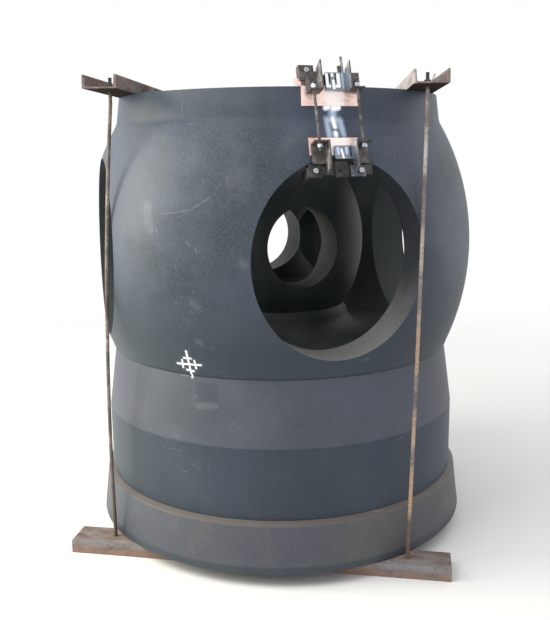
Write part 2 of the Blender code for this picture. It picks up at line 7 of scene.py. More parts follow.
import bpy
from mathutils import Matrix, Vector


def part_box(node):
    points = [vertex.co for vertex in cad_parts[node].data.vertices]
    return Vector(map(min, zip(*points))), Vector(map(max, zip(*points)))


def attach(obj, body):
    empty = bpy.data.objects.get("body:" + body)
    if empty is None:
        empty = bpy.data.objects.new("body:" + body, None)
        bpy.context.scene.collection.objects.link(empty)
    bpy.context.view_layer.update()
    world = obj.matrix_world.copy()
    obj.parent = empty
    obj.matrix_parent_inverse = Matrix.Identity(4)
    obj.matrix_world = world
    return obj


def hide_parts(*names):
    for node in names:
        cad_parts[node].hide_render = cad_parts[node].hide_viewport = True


bl_info = {
    "name": "Turbine Runner Hub",
    "version": (1, 0, 0),
    "blender": (4, 5, 0),
    "location": "View3D > Sidebar > Runner Hub",
    "description": "Dresses the runner hub, its lashing frame and the clamp over its front bore",
    "category": "Object",
}

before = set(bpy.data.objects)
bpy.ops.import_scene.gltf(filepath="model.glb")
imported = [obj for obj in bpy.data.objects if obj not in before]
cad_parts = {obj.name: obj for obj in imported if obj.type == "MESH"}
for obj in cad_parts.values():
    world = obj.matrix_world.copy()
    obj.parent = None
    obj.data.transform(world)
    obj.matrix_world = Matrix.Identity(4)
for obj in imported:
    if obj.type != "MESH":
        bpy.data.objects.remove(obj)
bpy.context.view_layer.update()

import math

import bmesh
import bpy
from bpy.props import FloatProperty, FloatVectorProperty, IntProperty, PointerProperty
from mathutils import Matrix, Vector, noise

CASTING_LOW, CASTING_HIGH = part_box("hub_casting")
BARREL_LOW, BARREL_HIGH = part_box("lower_barrel")
BASE_LOW, BASE_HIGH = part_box("base_ring")
RIM_TOP = CASTING_HIGH.z
HUB_BASE = BASE_LOW.z
BEAM_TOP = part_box("bottom_beam_front")[1].z
CHANNEL_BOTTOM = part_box("top_channel_left")[0].z
SEAT_GAP = 0.0003
SHARP = math.radians(32)


def length(name, description, default):
    return FloatProperty(name=name, description=description, default=default, unit="LENGTH", precision=4)


def angle(name, description, degrees):
    return FloatProperty(
        name=name, description=description, default=math.radians(degrees), subtype="ANGLE"
    )


def power(name, description, default):
    return FloatProperty(name=name, description=description, default=default, min=0.0, unit="POWER")


def colour(name, description, default):
    return FloatVectorProperty(
        name=name, description=description, default=default, subtype="COLOR", size=3, min=0.0, max=1.0
    )


def place(name, description, default):
    return FloatVectorProperty(
        name=name, description=description, default=default, subtype="XYZ", size=3, unit="LENGTH"
    )


class RunnerHubShape(bpy.types.PropertyGroup):
    """Sizes of the casting, the barrel and the base ring. Heights are above the floor."""

    belly_radius: length("Belly radius", "Widest radius of the casting", 0.925)
    belly_height: length("Belly height", "Height of the casting's widest place", HUB_BASE + 1.288)
    belly_half_height: length("Belly half height", "Half height of the oval that shapes the belly", 1.0366)
    belly_top: length("Belly top", "Height where the belly runs into the neck", HUB_BASE + 1.78)
    low_radius: length("Lower edge radius", "Radius of the casting's lower edge", 0.8167)
    rim_radius: length("Rim radius", "Radius of the flat top ring", 0.767)
    neck_radius: length("Neck radius", "Radius at the foot of the neck", 0.7805)
    neck_height: length("Neck height", "Height of the foot of the neck", HUB_BASE + 1.845)
    neck_rounding: length("Neck rounding", "Radius of the soft corners of the neck", 0.07)
    edge_break: length("Edge break", "Rounding of the casting's machined edges", 0.005)
    opening_radius: length("Top opening radius", "Radius of the opening in the top ring", 0.56)
    cavity_radius: length("Cavity radius", "Widest radius of the shell's inside", 0.757)
    cavity_half_height: length("Cavity half height", "Half height of the oval inside the shell", 0.85)
    cavity_top: length("Cavity top", "Height of the underside of the top ring", HUB_BASE + 1.74)
    cavity_floor: length("Cavity floor", "Height of the floor inside the casting", HUB_BASE + 0.845)
    boss_radius: length("Boss radius", "Widest radius of the bearing boss", 0.414)
    boss_half_height: length("Boss half height", "Half height of the oval that shapes the boss", 0.505)
    boss_top: length("Boss top", "Height of the flat top of the boss", HUB_BASE + 1.64)
    boss_waist: length("Boss waist", "Radius of the boss just over its foot", 0.335)
    boss_foot: length("Boss foot", "Radius where the boss's foot meets the floor", 0.47)
    boss_foot_rise: length("Boss foot rise", "Height of the hollow foot of the boss", 0.09)
    passage_radius: length("Rod passage radius", "Radius of the passage through the boss", 0.13)
    chamber_radius: length("Chamber radius", "Radius of the chamber inside the boss", 0.222)
    chamber_low: length("Chamber low", "Height of the chamber's floor", HUB_BASE + 1.056)
    chamber_high: length("Chamber high", "Height of the chamber's ceiling", HUB_BASE + 1.496)
    chamber_bevel: length("Chamber bevel", "Height of the slopes over and under the chamber", 0.03)
    bore_height: length("Bore height", "Height of the bores' axis", HUB_BASE + 1.276)
    bore_radius: length("Bore radius", "Radius of the blade bores across", 0.369)
    bearing_radius: length("Bearing radius", "Radius of the bearing bores across", 0.1665)
    bore_stretch: FloatProperty(
        name="Bore stretch", description="Height of a bore as a share of its width", default=1.112
    )
    barrel_radius: length("Barrel radius", "Widest radius of the lower barrel", 0.8405)
    barrel_height: length("Barrel height", "Height of the barrel's widest place", HUB_BASE + 0.509)
    barrel_top_radius: length("Barrel top radius", "Radius of the barrel under the casting", 0.808)
    shoulder_inner: length("Shoulder inner radius", "Radius where the barrel stands on the shoulder", 0.834)
    shoulder_outer: length("Shoulder outer radius", "Radius of the shoulder's outer edge", 0.858)
    shoulder_low: length("Shoulder height", "Height of the shoulder's outer edge", HUB_BASE + 0.1955)
    base_radius: length("Base radius", "Radius of the hub's underside", 0.8777)
    skirt_inner: length("Skirt inner radius", "Inner radius of barrel and base ring", 0.70)
    turn_steps: IntProperty(name="Turn steps", description="Flats round the hub", default=240, min=24)
    bore_steps: IntProperty(name="Bore steps", description="Flats round a blade bore", default=168, min=24)


class LashingShape(bpy.types.PropertyGroup):
    """Sizes of the channels, beams and tie rods. The lashing's own frame is turned about Z."""

    turn: angle("Turn", "How far the lashing is turned on the hub", -20.7)
    beam_skew: angle("Beam skew", "How far the bottom beams are askew in the lashing", -5.73)
    channel_width: length("Channel width", "Width over a channel's web", 0.140)
    channel_height: length("Channel height", "Height of a channel's legs", 0.056)
    web: length("Web thickness", "Thickness of a channel's web", 0.007)
    leg: length("Leg thickness", "Thickness of a channel's legs at their toes", 0.009)
    leg_taper: length("Leg taper", "How much thicker a leg is at its root", 0.003)
    root_rounding: length("Root rounding", "Rounding between web and leg", 0.007)
    toe_rounding: length("Toe rounding", "Rounding of a leg's inner toe", 0.004)
    channel_length: length("Channel length", "Length of a top channel", 1.60)
    channel_offset: length("Channel offset", "Distance of a top channel from the hub's axis", 0.66)
    beam_length: length("Beam length", "Length of a bottom beam", 1.652)
    beam_distance: length("Beam distance", "Distance of a bottom beam from the hub's axis", 0.6335)
    beam_shift: length("Beam shift", "How far a bottom beam is shifted along itself", 0.0633)
    rod_radius: length("Rod radius", "Radius of a tie rod", 0.008)
    rod_top_reach: length("Rod top reach", "Distance of a rod's top along its channel", 0.635)
    rod_foot_reach: length("Rod foot reach", "Distance of a rod's foot along its beam", 0.647)
    rod_straight: length("Straight end", "Straight length of a rod below and above its bend", 0.05)
    rod_top_stub: length("Top stub", "How far a rod stands over the channel's web", 0.050)
    rod_foot_stub: length("Foot stub", "How far a rod shows under its lower nut", 0.008)
    rod_belly_gap: length("Belly gap", "Distance between a rod and the hub's belly", 0.0006)
    left_belly: angle("Left belly angle", "Where the front left rod passes the belly", -138.3)
    right_belly: angle("Right belly angle", "Where the front right rod passes the belly", -47.25)
    thread_pitch: length("Thread pitch", "Pitch of the tie rods' threads", 0.002)
    hole_radius: length("Hole radius", "Radius of the holes for the rods", 0.011)
    nut_radius: length("Nut radius", "Radius of a nut over its corners", 0.0145)
    nut_height: length("Nut height", "Height of a nut", 0.013)
    washer_thickness: length("Washer thickness", "Thickness of a washer plate", 0.006)


class ClampShape(bpy.types.PropertyGroup):
    """Sizes of the clamp, in its own frame: X along the wall, out away from it, up along the rods."""

    tilt: angle("Tilt", "How far the clamp leans back with the wall", 16.85)
    plate: length("Plate thickness", "Thickness of the brackets", 0.006)
    back: length("Back plane", "Distance of the brackets' backs from the wall plane", 0.0066)
    rod_out: length("Rod distance", "Distance of the threaded rods from the wall plane", 0.040)
    rod_radius: length("Rod radius", "Radius of the threaded rods", 0.006)
    rod_left: length("Left rod", "Place of the left threaded rod", -0.093)
    rod_right: length("Right rod", "Place of the right threaded rod", 0.090)
    nut_radius: length("Nut radius", "Radius of a clamp nut over its corners", 0.013)
    bolt_radius: length("Bolt radius", "Radius of a bolt head over its corners", 0.0115)
    pad_thickness: length("Pad thickness", "Thickness of the copper sheet", 0.0024)
    pad_lift: length("Pad lift", "Distance of a pad's middle from the wall", 0.0042)
    pad_radius: length("Pad radius", "Radius at which a pad's width is measured", 0.80)
    jaw_thickness: length("Jaw thickness", "Thickness of the bright jaws", 0.012)


class FinishColours(bpy.types.PropertyGroup):
    """Linear base colours of the finishes."""

    primer: colour("Primer", "Blue-grey primer of the casting", (0.066, 0.080, 0.121))
    primer_pale: colour("Pale primer", "Thin, dusty places of the primer", (0.104, 0.110, 0.120))
    # Also painted shade under the belly, on the neck and low on the barrel, and the darker foot of the base
    # ring.
    primer_deep: colour("Deep primer", "Thick, greenish places of the primer", (0.026, 0.038, 0.051))
    barrel: colour("Barrel primer", "Primer of the lower barrel", (0.054, 0.066, 0.104))
    base: colour("Base primer", "Brownish primer of the base ring", (0.080, 0.078, 0.081))
    base_deep: colour("Deep base", "Darker places of the base ring", (0.058, 0.066, 0.088))
    base_pale: colour("Pale base", "Dusty places of the base ring", (0.126, 0.118, 0.110))
    # Also painted light on the barrel's upper part.
    barrel_pale: colour("Pale barrel", "Brownish dusty places of the barrel", (0.094, 0.095, 0.112))
    # Made very dark: painted shade inside the casting.
    cavity: colour("Cavity paint", "Dark paint inside the casting", (0.013, 0.019, 0.020))
    # Also the painted shade on the walls of the side and back blade bores.
    cavity_pale: colour("Pale cavity", "Dusty places inside the casting", (0.022, 0.030, 0.031))
    # In the bores this pale colour is partly dusty and partly painted light on what faces up; in the cavity
    # it is a dusty coat.
    bore: colour("Bore wall", "Dusty machined wall of a blade bore", (0.185, 0.184, 0.180))
    bore_deep: colour("Dark bore wall", "Oily machined wall of a blade bore", (0.034, 0.040, 0.047))
    bearing: colour("Bearing bore", "Olive wall of the inner bearing bores", (0.036, 0.034, 0.027))
    shoulder: colour("Shoulder", "Bare brown edge over the base ring", (0.105, 0.092, 0.088))
    scale: colour("Mill scale", "Blue-grey mill scale on rolled steel", (0.170, 0.175, 0.190))
    rust: colour("Rust", "Brown rust", (0.128, 0.096, 0.086))
    rust_bright: colour("Bright rust", "Fresh orange rust", (0.270, 0.140, 0.085))
    rust_orange: colour("Orange rust", "Thin rust low on the right tie rods", (0.420, 0.230, 0.100))
    rust_chalk: colour("Chalky rust", "Pale side of the right channel", (0.520, 0.472, 0.460))
    # Painted shade on the undersides of the rolled steel.
    underside_shade: colour("Rust underneath", "Damp dark rust of the undersides", (0.040, 0.031, 0.028))
    rust_fleck: colour("Rust fleck", "Light flecks in the rust", (0.340, 0.300, 0.285))
    scuff: colour("Scuffed scale", "Bluish scuffed edge of the beams", (0.235, 0.240, 0.260))
    rust_pale: colour("Pale rust", "Dry, pinkish rust", (0.270, 0.222, 0.205))
    rust_dark: colour("Dark rust", "Thick dark rust", (0.055, 0.040, 0.034))
    steel: colour("Bright steel", "Polished steel", (0.470, 0.500, 0.540))
    steel_dark: colour("Dark steel", "Oiled dark steel", (0.060, 0.057, 0.055))
    jaw: colour("Jaw steel", "Grey ground steel of the jaws", (0.260, 0.290, 0.340))
    # Painted glare on the jaws' bars.
    painted_glare: colour("Polished steel", "Polished bars on the jaws", (0.950, 0.970, 1.000))
    # Painted shade: dark strips that stand for the shaded grooves between the jaws' bars.
    slot: colour("Slot steel", "Dark lines between the bars", (0.040, 0.042, 0.060))
    # The copper's own colour, made paler as painted glare over the whole sheet.
    copper: colour("Copper", "Bright soft copper", (1.000, 0.750, 0.680))
    blued: colour("Blued steel", "Dark blue polished steel", (0.105, 0.135, 0.205))
    # Painted sheen on the strip and on some of the jaws' bars.
    sheen: colour("Steel sheen", "Pale blue sheen of polished steel", (0.560, 0.660, 0.860))
    # Painted glare down the middle of the copper pads.
    copper_glare: colour("Copper glare", "Rubbed, almost white copper", (1.000, 0.930, 0.910))
    copper_stain: colour("Copper stain", "Tarnished copper", (0.620, 0.300, 0.200))
    chalk: colour("Marking paint", "White marking paint", (0.860, 0.890, 0.920))


class StudioSettings(bpy.types.PropertyGroup):
    """Camera and lights."""

    camera_place: place("Camera", "Where the camera stands", (-1.15852, -3.86399, 1.76182))
    camera_heading: angle("Heading", "Turn of the camera from +Y toward +X", 16.435)
    camera_pitch: angle("Pitch", "How far the camera looks down", 4.7455)
    camera_roll: angle("Roll", "Roll of the camera", -0.6)
    lens: FloatProperty(name="Lens", description="Focal length in millimetres", default=47.18)
    shift: FloatProperty(name="Shift", description="Vertical shift of the frame", default=-0.145)
    sky: FloatProperty(name="Surroundings", description="Brightness of the white room", default=1.0)
    floor_radius: length("Floor radius", "Radius of the round floor", 6.0)
    fade_from: length("Fade from", "Distance from the hub where the floor begins to fade", 2.6)
    fade_to: length("Fade to", "Distance from the hub where the floor is gone", 5.8)
    floor: colour("Floor", "Darker places of the floor", (0.740, 0.740, 0.740))
    floor_pale: colour("Pale floor", "Lighter places of the floor", (0.780, 0.780, 0.780))
    left_colour: colour("Left light colour", "Colour of the left light", (1.0, 0.965, 0.780))
    left_power: power("Left light", "Power of the large light on the left", 310.0)
    right_power: power("Right light", "Power of the large light on the right", 16.0)
    top_power: power("Top light", "Power of the light overhead", 110.0)


def settings():
    return bpy.context.scene.runner_hub


class RunnerHubSettings(bpy.types.PropertyGroup):
    """Everything that a user would change."""

    hub: PointerProperty(type=RunnerHubShape)
    lashing: PointerProperty(type=LashingShape)
    clamp: PointerProperty(type=ClampShape)
    colours: PointerProperty(type=FinishColours)
    studio: PointerProperty(type=StudioSettings)


class Wire:
    """A shader value: an expression on wires adds its Math nodes."""

    def __init__(self, finish, socket):
        self.finish, self.socket = finish, socket

    def __add__(self, other):
        return self.finish.maths("ADD", self, other)

    def __sub__(self, other):
        return self.finish.maths("SUBTRACT", self, other)

    def __rsub__(self, other):
        return self.finish.maths("SUBTRACT", other, self)

    def __mul__(self, other):
        return self.finish.maths("MULTIPLY", self, other)

    def __truediv__(self, other):
        return self.finish.maths("DIVIDE", self, other)

    def __abs__(self):
        return self.finish.maths("ABSOLUTE", self)

    __radd__, __rmul__ = __add__, __mul__


class Finish:
    """A material that is being made. Every node but Math comes from its node method."""

    def __init__(self, name, roughness=0.5, metallic=0.0, specular=0.5):
        self.material = bpy.data.materials.new(name)
        self.material.use_nodes = True
        self.tree = self.material.node_tree
        self.shader = self.tree.nodes["Principled BSDF"]
        self.shader.inputs["Roughness"].default_value = roughness
        self.shader.inputs["Metallic"].default_value = metallic
        self.shader.inputs["Specular IOR Level"].default_value = specular

    def feed(self, socket, value):
        if isinstance(value, Wire):
            self.tree.links.new(value.socket, socket)
        elif socket.type == "RGBA":
            socket.default_value = (*value, 1.0)
        else:
            socket.default_value = value

    def node(self, kind, options=None, inputs=None, output=0):
        made = self.tree.nodes.new(kind)
        for key, value in (options or {}).items():
            if key == "stops":
                self.fill_ramp(made.color_ramp, value)
            else:
                setattr(made, key, value)
        for key, value in (inputs or {}).items():
            self.feed(made.inputs[key], value)
        return Wire(self, made.outputs[output])

    def fill_ramp(self, ramp, stops):
        while len(ramp.elements) < len(stops):
            ramp.elements.new(1.0)
        for element, (position, shade) in zip(ramp.elements, stops):
            element.position = position
            element.color = (*shade, 1.0)

    def maths(self, operation, *values):
        made = self.tree.nodes.new("ShaderNodeMath")
        made.operation = operation
        for socket, value in zip(made.inputs, values):
            self.feed(socket, value)
        return Wire(self, made.outputs[0])

    def least(self, first, second):
        return self.maths("MINIMUM", first, second)

    def most(self, first, second):
        return self.maths("MAXIMUM", first, second)

    def clamped(self, value):
        return self.least(self.most(value, 0.0), 1.0)

    def smooth(self, value, low, high):
        """0 below low and 1 above high, with a soft step between. Swapped ends turn it round."""
        return self.node(
            "ShaderNodeMapRange",
            {"interpolation_type": "SMOOTHSTEP"},
            {"Value": value, "From Min": low, "From Max": high},
        )

    def between(self, value, low, high, inward, outward=0.0):
        """1 between low and high and 0 elsewhere, with steps that reach some way in and out."""
        start = self.smooth(value, low - outward, low + inward)
        return start * self.smooth(value, high + outward, high - inward)

    def mix(self, factor, first, second):
        return self.node(
            "ShaderNodeMix", {"data_type": "RGBA"}, {0: factor, 6: first, 7: second}, output=2
        )

    def coated(self, tone, *coats):
        """A colour under some coats, each a (how much, colour), laid on in their order."""
        for much, shade in coats:
            tone = self.mix(much, tone, shade)
        return tone

    def position(self):
        """Coordinates of the piece's own frame, in metres."""
        return self.node("ShaderNodeTexCoord", output=3)

    def axes(self, vector):
        """The three parts of a vector."""
        split = self.node("ShaderNodeSeparateXYZ", inputs={0: vector})
        return [Wire(self, socket) for socket in split.socket.node.outputs]

    def facing_up(self):
        """1 where the surface faces up, -1 where it faces down."""
        return self.axes(self.node("ShaderNodeNewGeometry", output=1))[2]

    def stretched(self, vector, scales):
        return self.node(
            "ShaderNodeVectorMath", {"operation": "MULTIPLY"}, {0: vector, 1: scales}
        )

    def noise(self, vector, scale, detail=3.0, roughness=0.55, distortion=0.0):
        return self.node(
            "ShaderNodeTexNoise",
            inputs={
                "Vector": vector, "Scale": scale, "Detail": detail, "Roughness": roughness,
                "Distortion": distortion,
            },
        )

    def bump(self, height, distance, strength):
        return self.node(
            "ShaderNodeBump", inputs={"Height": height, "Distance": distance, "Strength": strength}
        )

    def dress(self, tone, roughness=None, normal=None, alpha=None):
        given = {"Base Color": tone, "Roughness": roughness, "Normal": normal, "Alpha": alpha}
        for name, value in given.items():
            if value is not None:
                self.feed(self.shader.inputs[name], value)
        return self.material


def round_the_hub(finish):
    """Turn round the hub from the front bore and height above the floor, as wires."""
    x, y, z = finish.axes(finish.position())
    return finish.maths("ARCTAN2", x, 0.0 - y), z


def from_stroke(finish, across, up, start, end, half_width):
    """Distance outside a straight brush stroke between two places, below 0 on it."""
    run = (end[0] - start[0], end[1] - start[1])
    reach = run[0] ** 2 + run[1] ** 2
    along = finish.clamped(((across - start[0]) * run[0] + (up - start[1]) * run[1]) / reach)
    off_x, off_y = across - start[0] - along * run[0], up - start[1] - along * run[1]
    return finish.maths("SQRT", off_x * off_x + off_y * off_y) - half_width


def from_strokes(finish, across, up, strokes):
    """Distance outside the nearest of some strokes, each a (start, end, half width)."""
    nearest = 1.0
    for start, end, half_width in strokes:
        nearest = finish.least(from_stroke(finish, across, up, start, end, half_width), nearest)
    return nearest


MARK_TURN = math.radians(-43.45)
MARK_HEIGHT = 0.895
MARK_RADIUS = 0.832
MARK_HALF_WIDTH = 0.0031
# The cross and its ticks, each line from one place to another, as (across, up) from its middle.
MARK_LINES = (
    ((-0.058, -0.002), (0.057, 0.003)),
    ((0.002, 0.061), (-0.001, -0.059)),
    ((-0.0175, 0.0285), (0.0164, 0.0290)),
    ((-0.0185, -0.0265), (0.0155, -0.0295)),
    ((-0.0295, 0.0165), (-0.0346, -0.0175)),
    ((0.0305, 0.0205), (0.0298, -0.0145)),
)


def from_cross(finish, turn, z, wobble):
    """Distance outside the workshop's white cross with a short tick over each arm."""
    across = (turn - MARK_TURN) * MARK_RADIUS + (wobble - 0.5) * 0.005
    up = z - MARK_HEIGHT + (wobble - 0.5) * 0.004
    strokes = [(start, end, MARK_HALF_WIDTH) for start, end in MARK_LINES]
    return from_strokes(finish, across, up, strokes)


def scratch_lines(finish, vector, stretch, seed, width):
    """Sparse thin lines: the narrow crossing of a stretched noise, kept in a few places."""
    moved_on = finish.node(
        "ShaderNodeVectorMath", {"operation": "ADD"}, {0: finish.stretched(vector, stretch), 1: seed}
    )
    thin = finish.smooth(abs(finish.noise(moved_on, 1.0, 2.0, 0.4, 0.3) - 0.5), width, 0.0)
    return thin * finish.smooth(finish.noise(vector, 3.1, 2.0), 0.56, 0.66)


def primer_finish(name, deep, middle, pale, zones):
    """Satin primer over a turned surface: clouds, fine turning marks, scratches and the cross mark.

    A zone is (lowest and highest place above the floor, softness, how much, colour); the casting's and the
    barrel's zones are painted shade and painted light.
    """
    finish = Finish(name, roughness=0.45, specular=0.25)
    turn, z = round_the_hub(finish)
    spot = finish.position()
    clouds = finish.noise(spot, 1.7, 4.0, 0.6)
    patches = finish.noise(spot, 7.0, 4.0, 0.6, 0.4)
    grain = finish.noise(spot, 95.0, 3.0, 0.7)
    peel = finish.noise(spot, 260.0, 2.0, 0.6)
    streaks = finish.noise(finish.stretched(spot, (9.0, 9.0, 0.9)), 1.0, 4.0, 0.6)
    lines = finish.most(
        scratch_lines(finish, spot, (3.0, 3.0, 42.0), (4.0, 1.0, 2.0), 0.0035),
        scratch_lines(finish, spot, (30.0, 24.0, 5.0), (9.0, 5.0, 7.0), 0.0028),
    )
    scratches = marks_on(finish, turn, z, patches, LONG_SCRATCHES, SCRATCH_SOFTNESS)
    smudges_and_glint = marks_on(finish, turn, z, patches, PALE_SMUDGES_AND_GLINT, SMUDGE_SOFTNESS)
    cross = from_cross(finish, turn, z, finish.noise(spot, 60.0, 2.0))
    mark = finish.smooth(cross, 0.0026, -0.0008)
    chalk = settings().colours.chalk
    tone = finish.coated(
        deep,
        (finish.smooth(clouds, 0.36, 0.62), middle),
        (finish.smooth(patches, 0.50, 0.78) * 0.45, pale),
        (finish.smooth(streaks, 0.55, 0.75) * 0.22, pale),
        (finish.smooth(grain, 0.40, 0.62) * 0.30, pale),
        (finish.smooth(peel, 0.60, 0.40) * 0.40, deep),
        *(
            (finish.between(z, low, high, softness, softness) * much, shade)
            for low, high, softness, much, shade in zones
        ),
        (dark_patches(finish, turn, z, patches) * 0.30, deep),
        (lines * 0.10, chalk),
        (scratches * (0.01 + grain * 0.09), chalk),
        (smudges_and_glint * peel * 0.07, chalk),
        # A faint pale halo round the cross: painted glow.
        (finish.smooth(cross, 0.014, 0.0) * 0.05, chalk),
        (mark * finish.smooth(finish.noise(spot, 240.0, 2.0), 0.22, 0.40), chalk),
    )
    grooves = finish.maths("SINE", z * 1400.0 + finish.noise(spot, 9.0) * 5.0)
    height = grooves * 0.22 + grain * 0.7 + peel * 0.4 + patches * 1.2 - lines * 1.5 + mark * 1.5
    rough = 0.40 + patches * 0.16 + lines * 0.15 + mark * 0.2
    return finish.dress(tone, rough, finish.bump(height, 0.0006, 0.55))


SCRATCH_SOFTNESS = 0.0025
SMUDGE_SOFTNESS = 0.022
# Scratches, smudges and one painted highlight as (start, end, half width), each place as (degrees round the
# hub, height).
LONG_SCRATCHES = (
    ((-47.6, 1.5206), (-43.5, 1.5290), 0.0008),
    ((-43.5, 1.5290), (-39.3, 1.5395), 0.0010),
    ((-39.3, 1.5395), (-34.0, 1.5910), 0.0007),
    ((-40.1, 1.4176), (-39.3, 1.4000), 0.0012),
    ((-37.4, 1.3950), (-37.2, 1.3720), 0.0011),
    ((-43.4, 1.3156), (-42.8, 1.3000), 0.0013),
    ((-49.3, 1.4637), (-49.0, 1.4480), 0.0018),
    ((-41.8, 0.7600), (-41.5, 0.7560), 0.0030),
    ((-47.4, 0.8390), (-44.9, 0.8375), 0.0020),
    ((44.9, 0.1720), (45.4, 0.1500), 0.0030),
    ((41.1, 0.1640), (41.6, 0.1440), 0.0030),
)
PALE_SMUDGES_AND_GLINT = (
    ((-53.0, 1.5500), (-51.5, 1.4600), 0.0100),
    ((-39.1, 1.1730), (-38.9, 1.1650), 0.0010),
    ((-37.9, 1.1560), (-37.5, 1.1520), 0.0010),
    ((-38.9, 1.0070), (-38.1, 0.9990), 0.0010),
    ((-41.2, 0.7200), (-36.0, 0.7290), 0.0010),
    # A painted highlight near the front bore's edge.
    ((-25.6, 1.3380), (-25.1, 1.3260), 0.0010),
)
# Patches as (sides in degrees round the hub, lower and upper edge).
DARK_PATCHES = (
    ((-42.2, -35.0), (0.7360, 0.8220)),
    ((37.5, 48.5), (0.0800, 0.1120)),
)


def marks_on(finish, turn, z, roughen, marks, softness):
    """Strokes on the hub, each from one place (degrees round it, height) to another."""
    across = turn * MARK_RADIUS + (roughen - 0.5) * 0.02
    strokes = [
        (*((math.radians(turned_by) * MARK_RADIUS, height) for turned_by, height in (start, end)), half)
        for start, end, half in marks
    ]
    return finish.smooth(from_strokes(finish, across, z, strokes), softness, 0.0)


def dark_patches(finish, turn, z, roughen):
    """The dark square under the cross, and the smudge low on the right."""
    dark = 0.0
    shifted = turn + (roughen - 0.5) * 0.03
    for sides, (low, high) in DARK_PATCHES:
        left, right = (math.radians(side) for side in sides)
        dark = finish.between(shifted, left, right, 0.008) * finish.between(z, low, high, 0.006) + dark
    return dark


def cavity_finish():
    """Paint on the rough cast inside, made very dark as painted shade, with a dusty coat on what faces up.
    """
    colours = settings().colours
    finish = Finish("cavity_paint", roughness=0.6, specular=0.3)
    spot = finish.position()
    patches = finish.noise(spot, 5.0, 5.0, 0.6)
    grain = finish.noise(spot, 70.0, 4.0, 0.7)
    upward_coat = finish.smooth(finish.facing_up(), 0.15, 0.95)
    tone = finish.coated(
        colours.cavity,
        (finish.smooth(patches, 0.42, 0.70), colours.cavity_pale),
        (upward_coat * (0.02 + patches * 0.14), colours.bore),
    )
    return finish.dress(tone, 0.48 + grain * 0.2, finish.bump(grain + patches * 2.0, 0.0012, 0.6))


def bore_finish():
    """Machined bore wall: faint rings, oil stains, a pale coat where it faces up that is partly dusty and
    partly painted light, painted shade in the other blade bores; olive in the bearing bores.
    """
    colours = settings().colours
    finish = Finish("bore_wall", roughness=0.5, specular=0.3)
    spot = finish.position()
    x, y, _ = finish.axes(spot)
    out = finish.most(abs(x), abs(y))
    patches = finish.noise(spot, 6.0, 4.0, 0.6)
    grain = finish.noise(spot, 120.0, 3.0, 0.6)
    # What faces up takes the pale wall colour: partly a dusty coat, partly painted light.
    upward_coat = finish.smooth(finish.facing_up() + (patches - 0.5) * 0.5, 0.05, 0.85)
    tone = finish.coated(
        colours.bore_deep,
        (finish.smooth(patches, 0.50, 0.75) * 0.35, colours.shoulder),
        (upward_coat, colours.bore),
        # Painted shade: the walls of the blade bores other than the front one are darkened.
        (finish.smooth(y, -0.52, -0.45) * 0.9, colours.cavity_pale),
        (finish.smooth(grain, 0.50, 0.66) * 0.18, colours.bore_deep),
        (finish.smooth(finish.noise(spot, 300.0, 1.0), 0.76, 0.80) * 0.5, colours.chalk),
        (finish.smooth(out, 0.50, 0.44), colours.bearing),
        (finish.smooth(out, 0.26, 0.22), colours.cavity),
    )
    rings = finish.maths("SINE", out * 1800.0)
    return finish.dress(tone, 0.42 + patches * 0.2, finish.bump(rings * 0.4 + grain + patches, 0.0004, 0.5))


def rolled_steel_finish(name, worn_band=0.0, chalky=0.0):
    """Rusty rolled section: brown and pinkish rust over blue-grey scale, painted shade underneath, in its
    own frame's X along.
    """
    colours = settings().colours
    finish = Finish(name, roughness=0.8, specular=0.0)
    spot = finish.position()
    _, y, z = finish.axes(spot)
    patches = finish.noise(finish.stretched(spot, (0.4, 1.0, 1.0)), 24.0, 6.0, 0.65, 0.2)
    clouds = finish.noise(spot, 5.0, 4.0, 0.6)
    flecks = finish.noise(spot, 90.0, 3.0, 0.65)
    grain = finish.noise(spot, 210.0, 3.0, 0.75)
    coats = [
        (finish.smooth(patches, 0.30, 0.68), colours.rust_pale),
        (finish.smooth(clouds, 0.48, 0.62) * 0.45, colours.scale),
        (finish.smooth(flecks, 0.56, 0.66) * 0.30, colours.rust_fleck),
        (finish.smooth(grain, 0.50, 0.66) * 0.40, colours.rust_dark),
    ]
    if worn_band:
        edge = finish.smooth(y + (patches - 0.5) * 0.03, 0.030 - worn_band, 0.022 - worn_band)
        edge = edge * finish.smooth(z + (clouds - 0.5) * 0.02, -0.026, -0.012)
        scuffs = finish.smooth(finish.noise(spot, 140.0, 3.0, 0.7), 0.42, 0.56)
        front = finish.smooth(z, -0.020, -0.032) * finish.smooth(patches, 0.40, 0.60)
        coats += [(edge * scuffs * 0.55, colours.scuff), (front * 0.5, colours.rust_bright)]
    if chalky:
        side = finish.smooth(y, 0.060, 0.064) * finish.smooth(patches, 0.20, 0.55)
        coats.append((side * chalky, colours.rust_chalk))
    # Undersides darkened: painted shade.
    coats.append((finish.smooth(finish.facing_up(), -0.3, -0.8), colours.underside_shade))
    tone = finish.coated(colours.rust, *coats)
    return finish.dress(tone, 0.70 + grain * 0.2, finish.bump(grain + patches * 1.5, 0.0010, 0.6))


# Colours of the rods' rust, from its darkest bands to its lightest.
ROD_RUST = (
    (0.30, (0.075, 0.060, 0.058)), (0.42, (0.130, 0.106, 0.100)), (0.52, (0.215, 0.180, 0.165)),
    (0.60, (0.355, 0.310, 0.278)), (0.72, (0.450, 0.415, 0.392)),
)


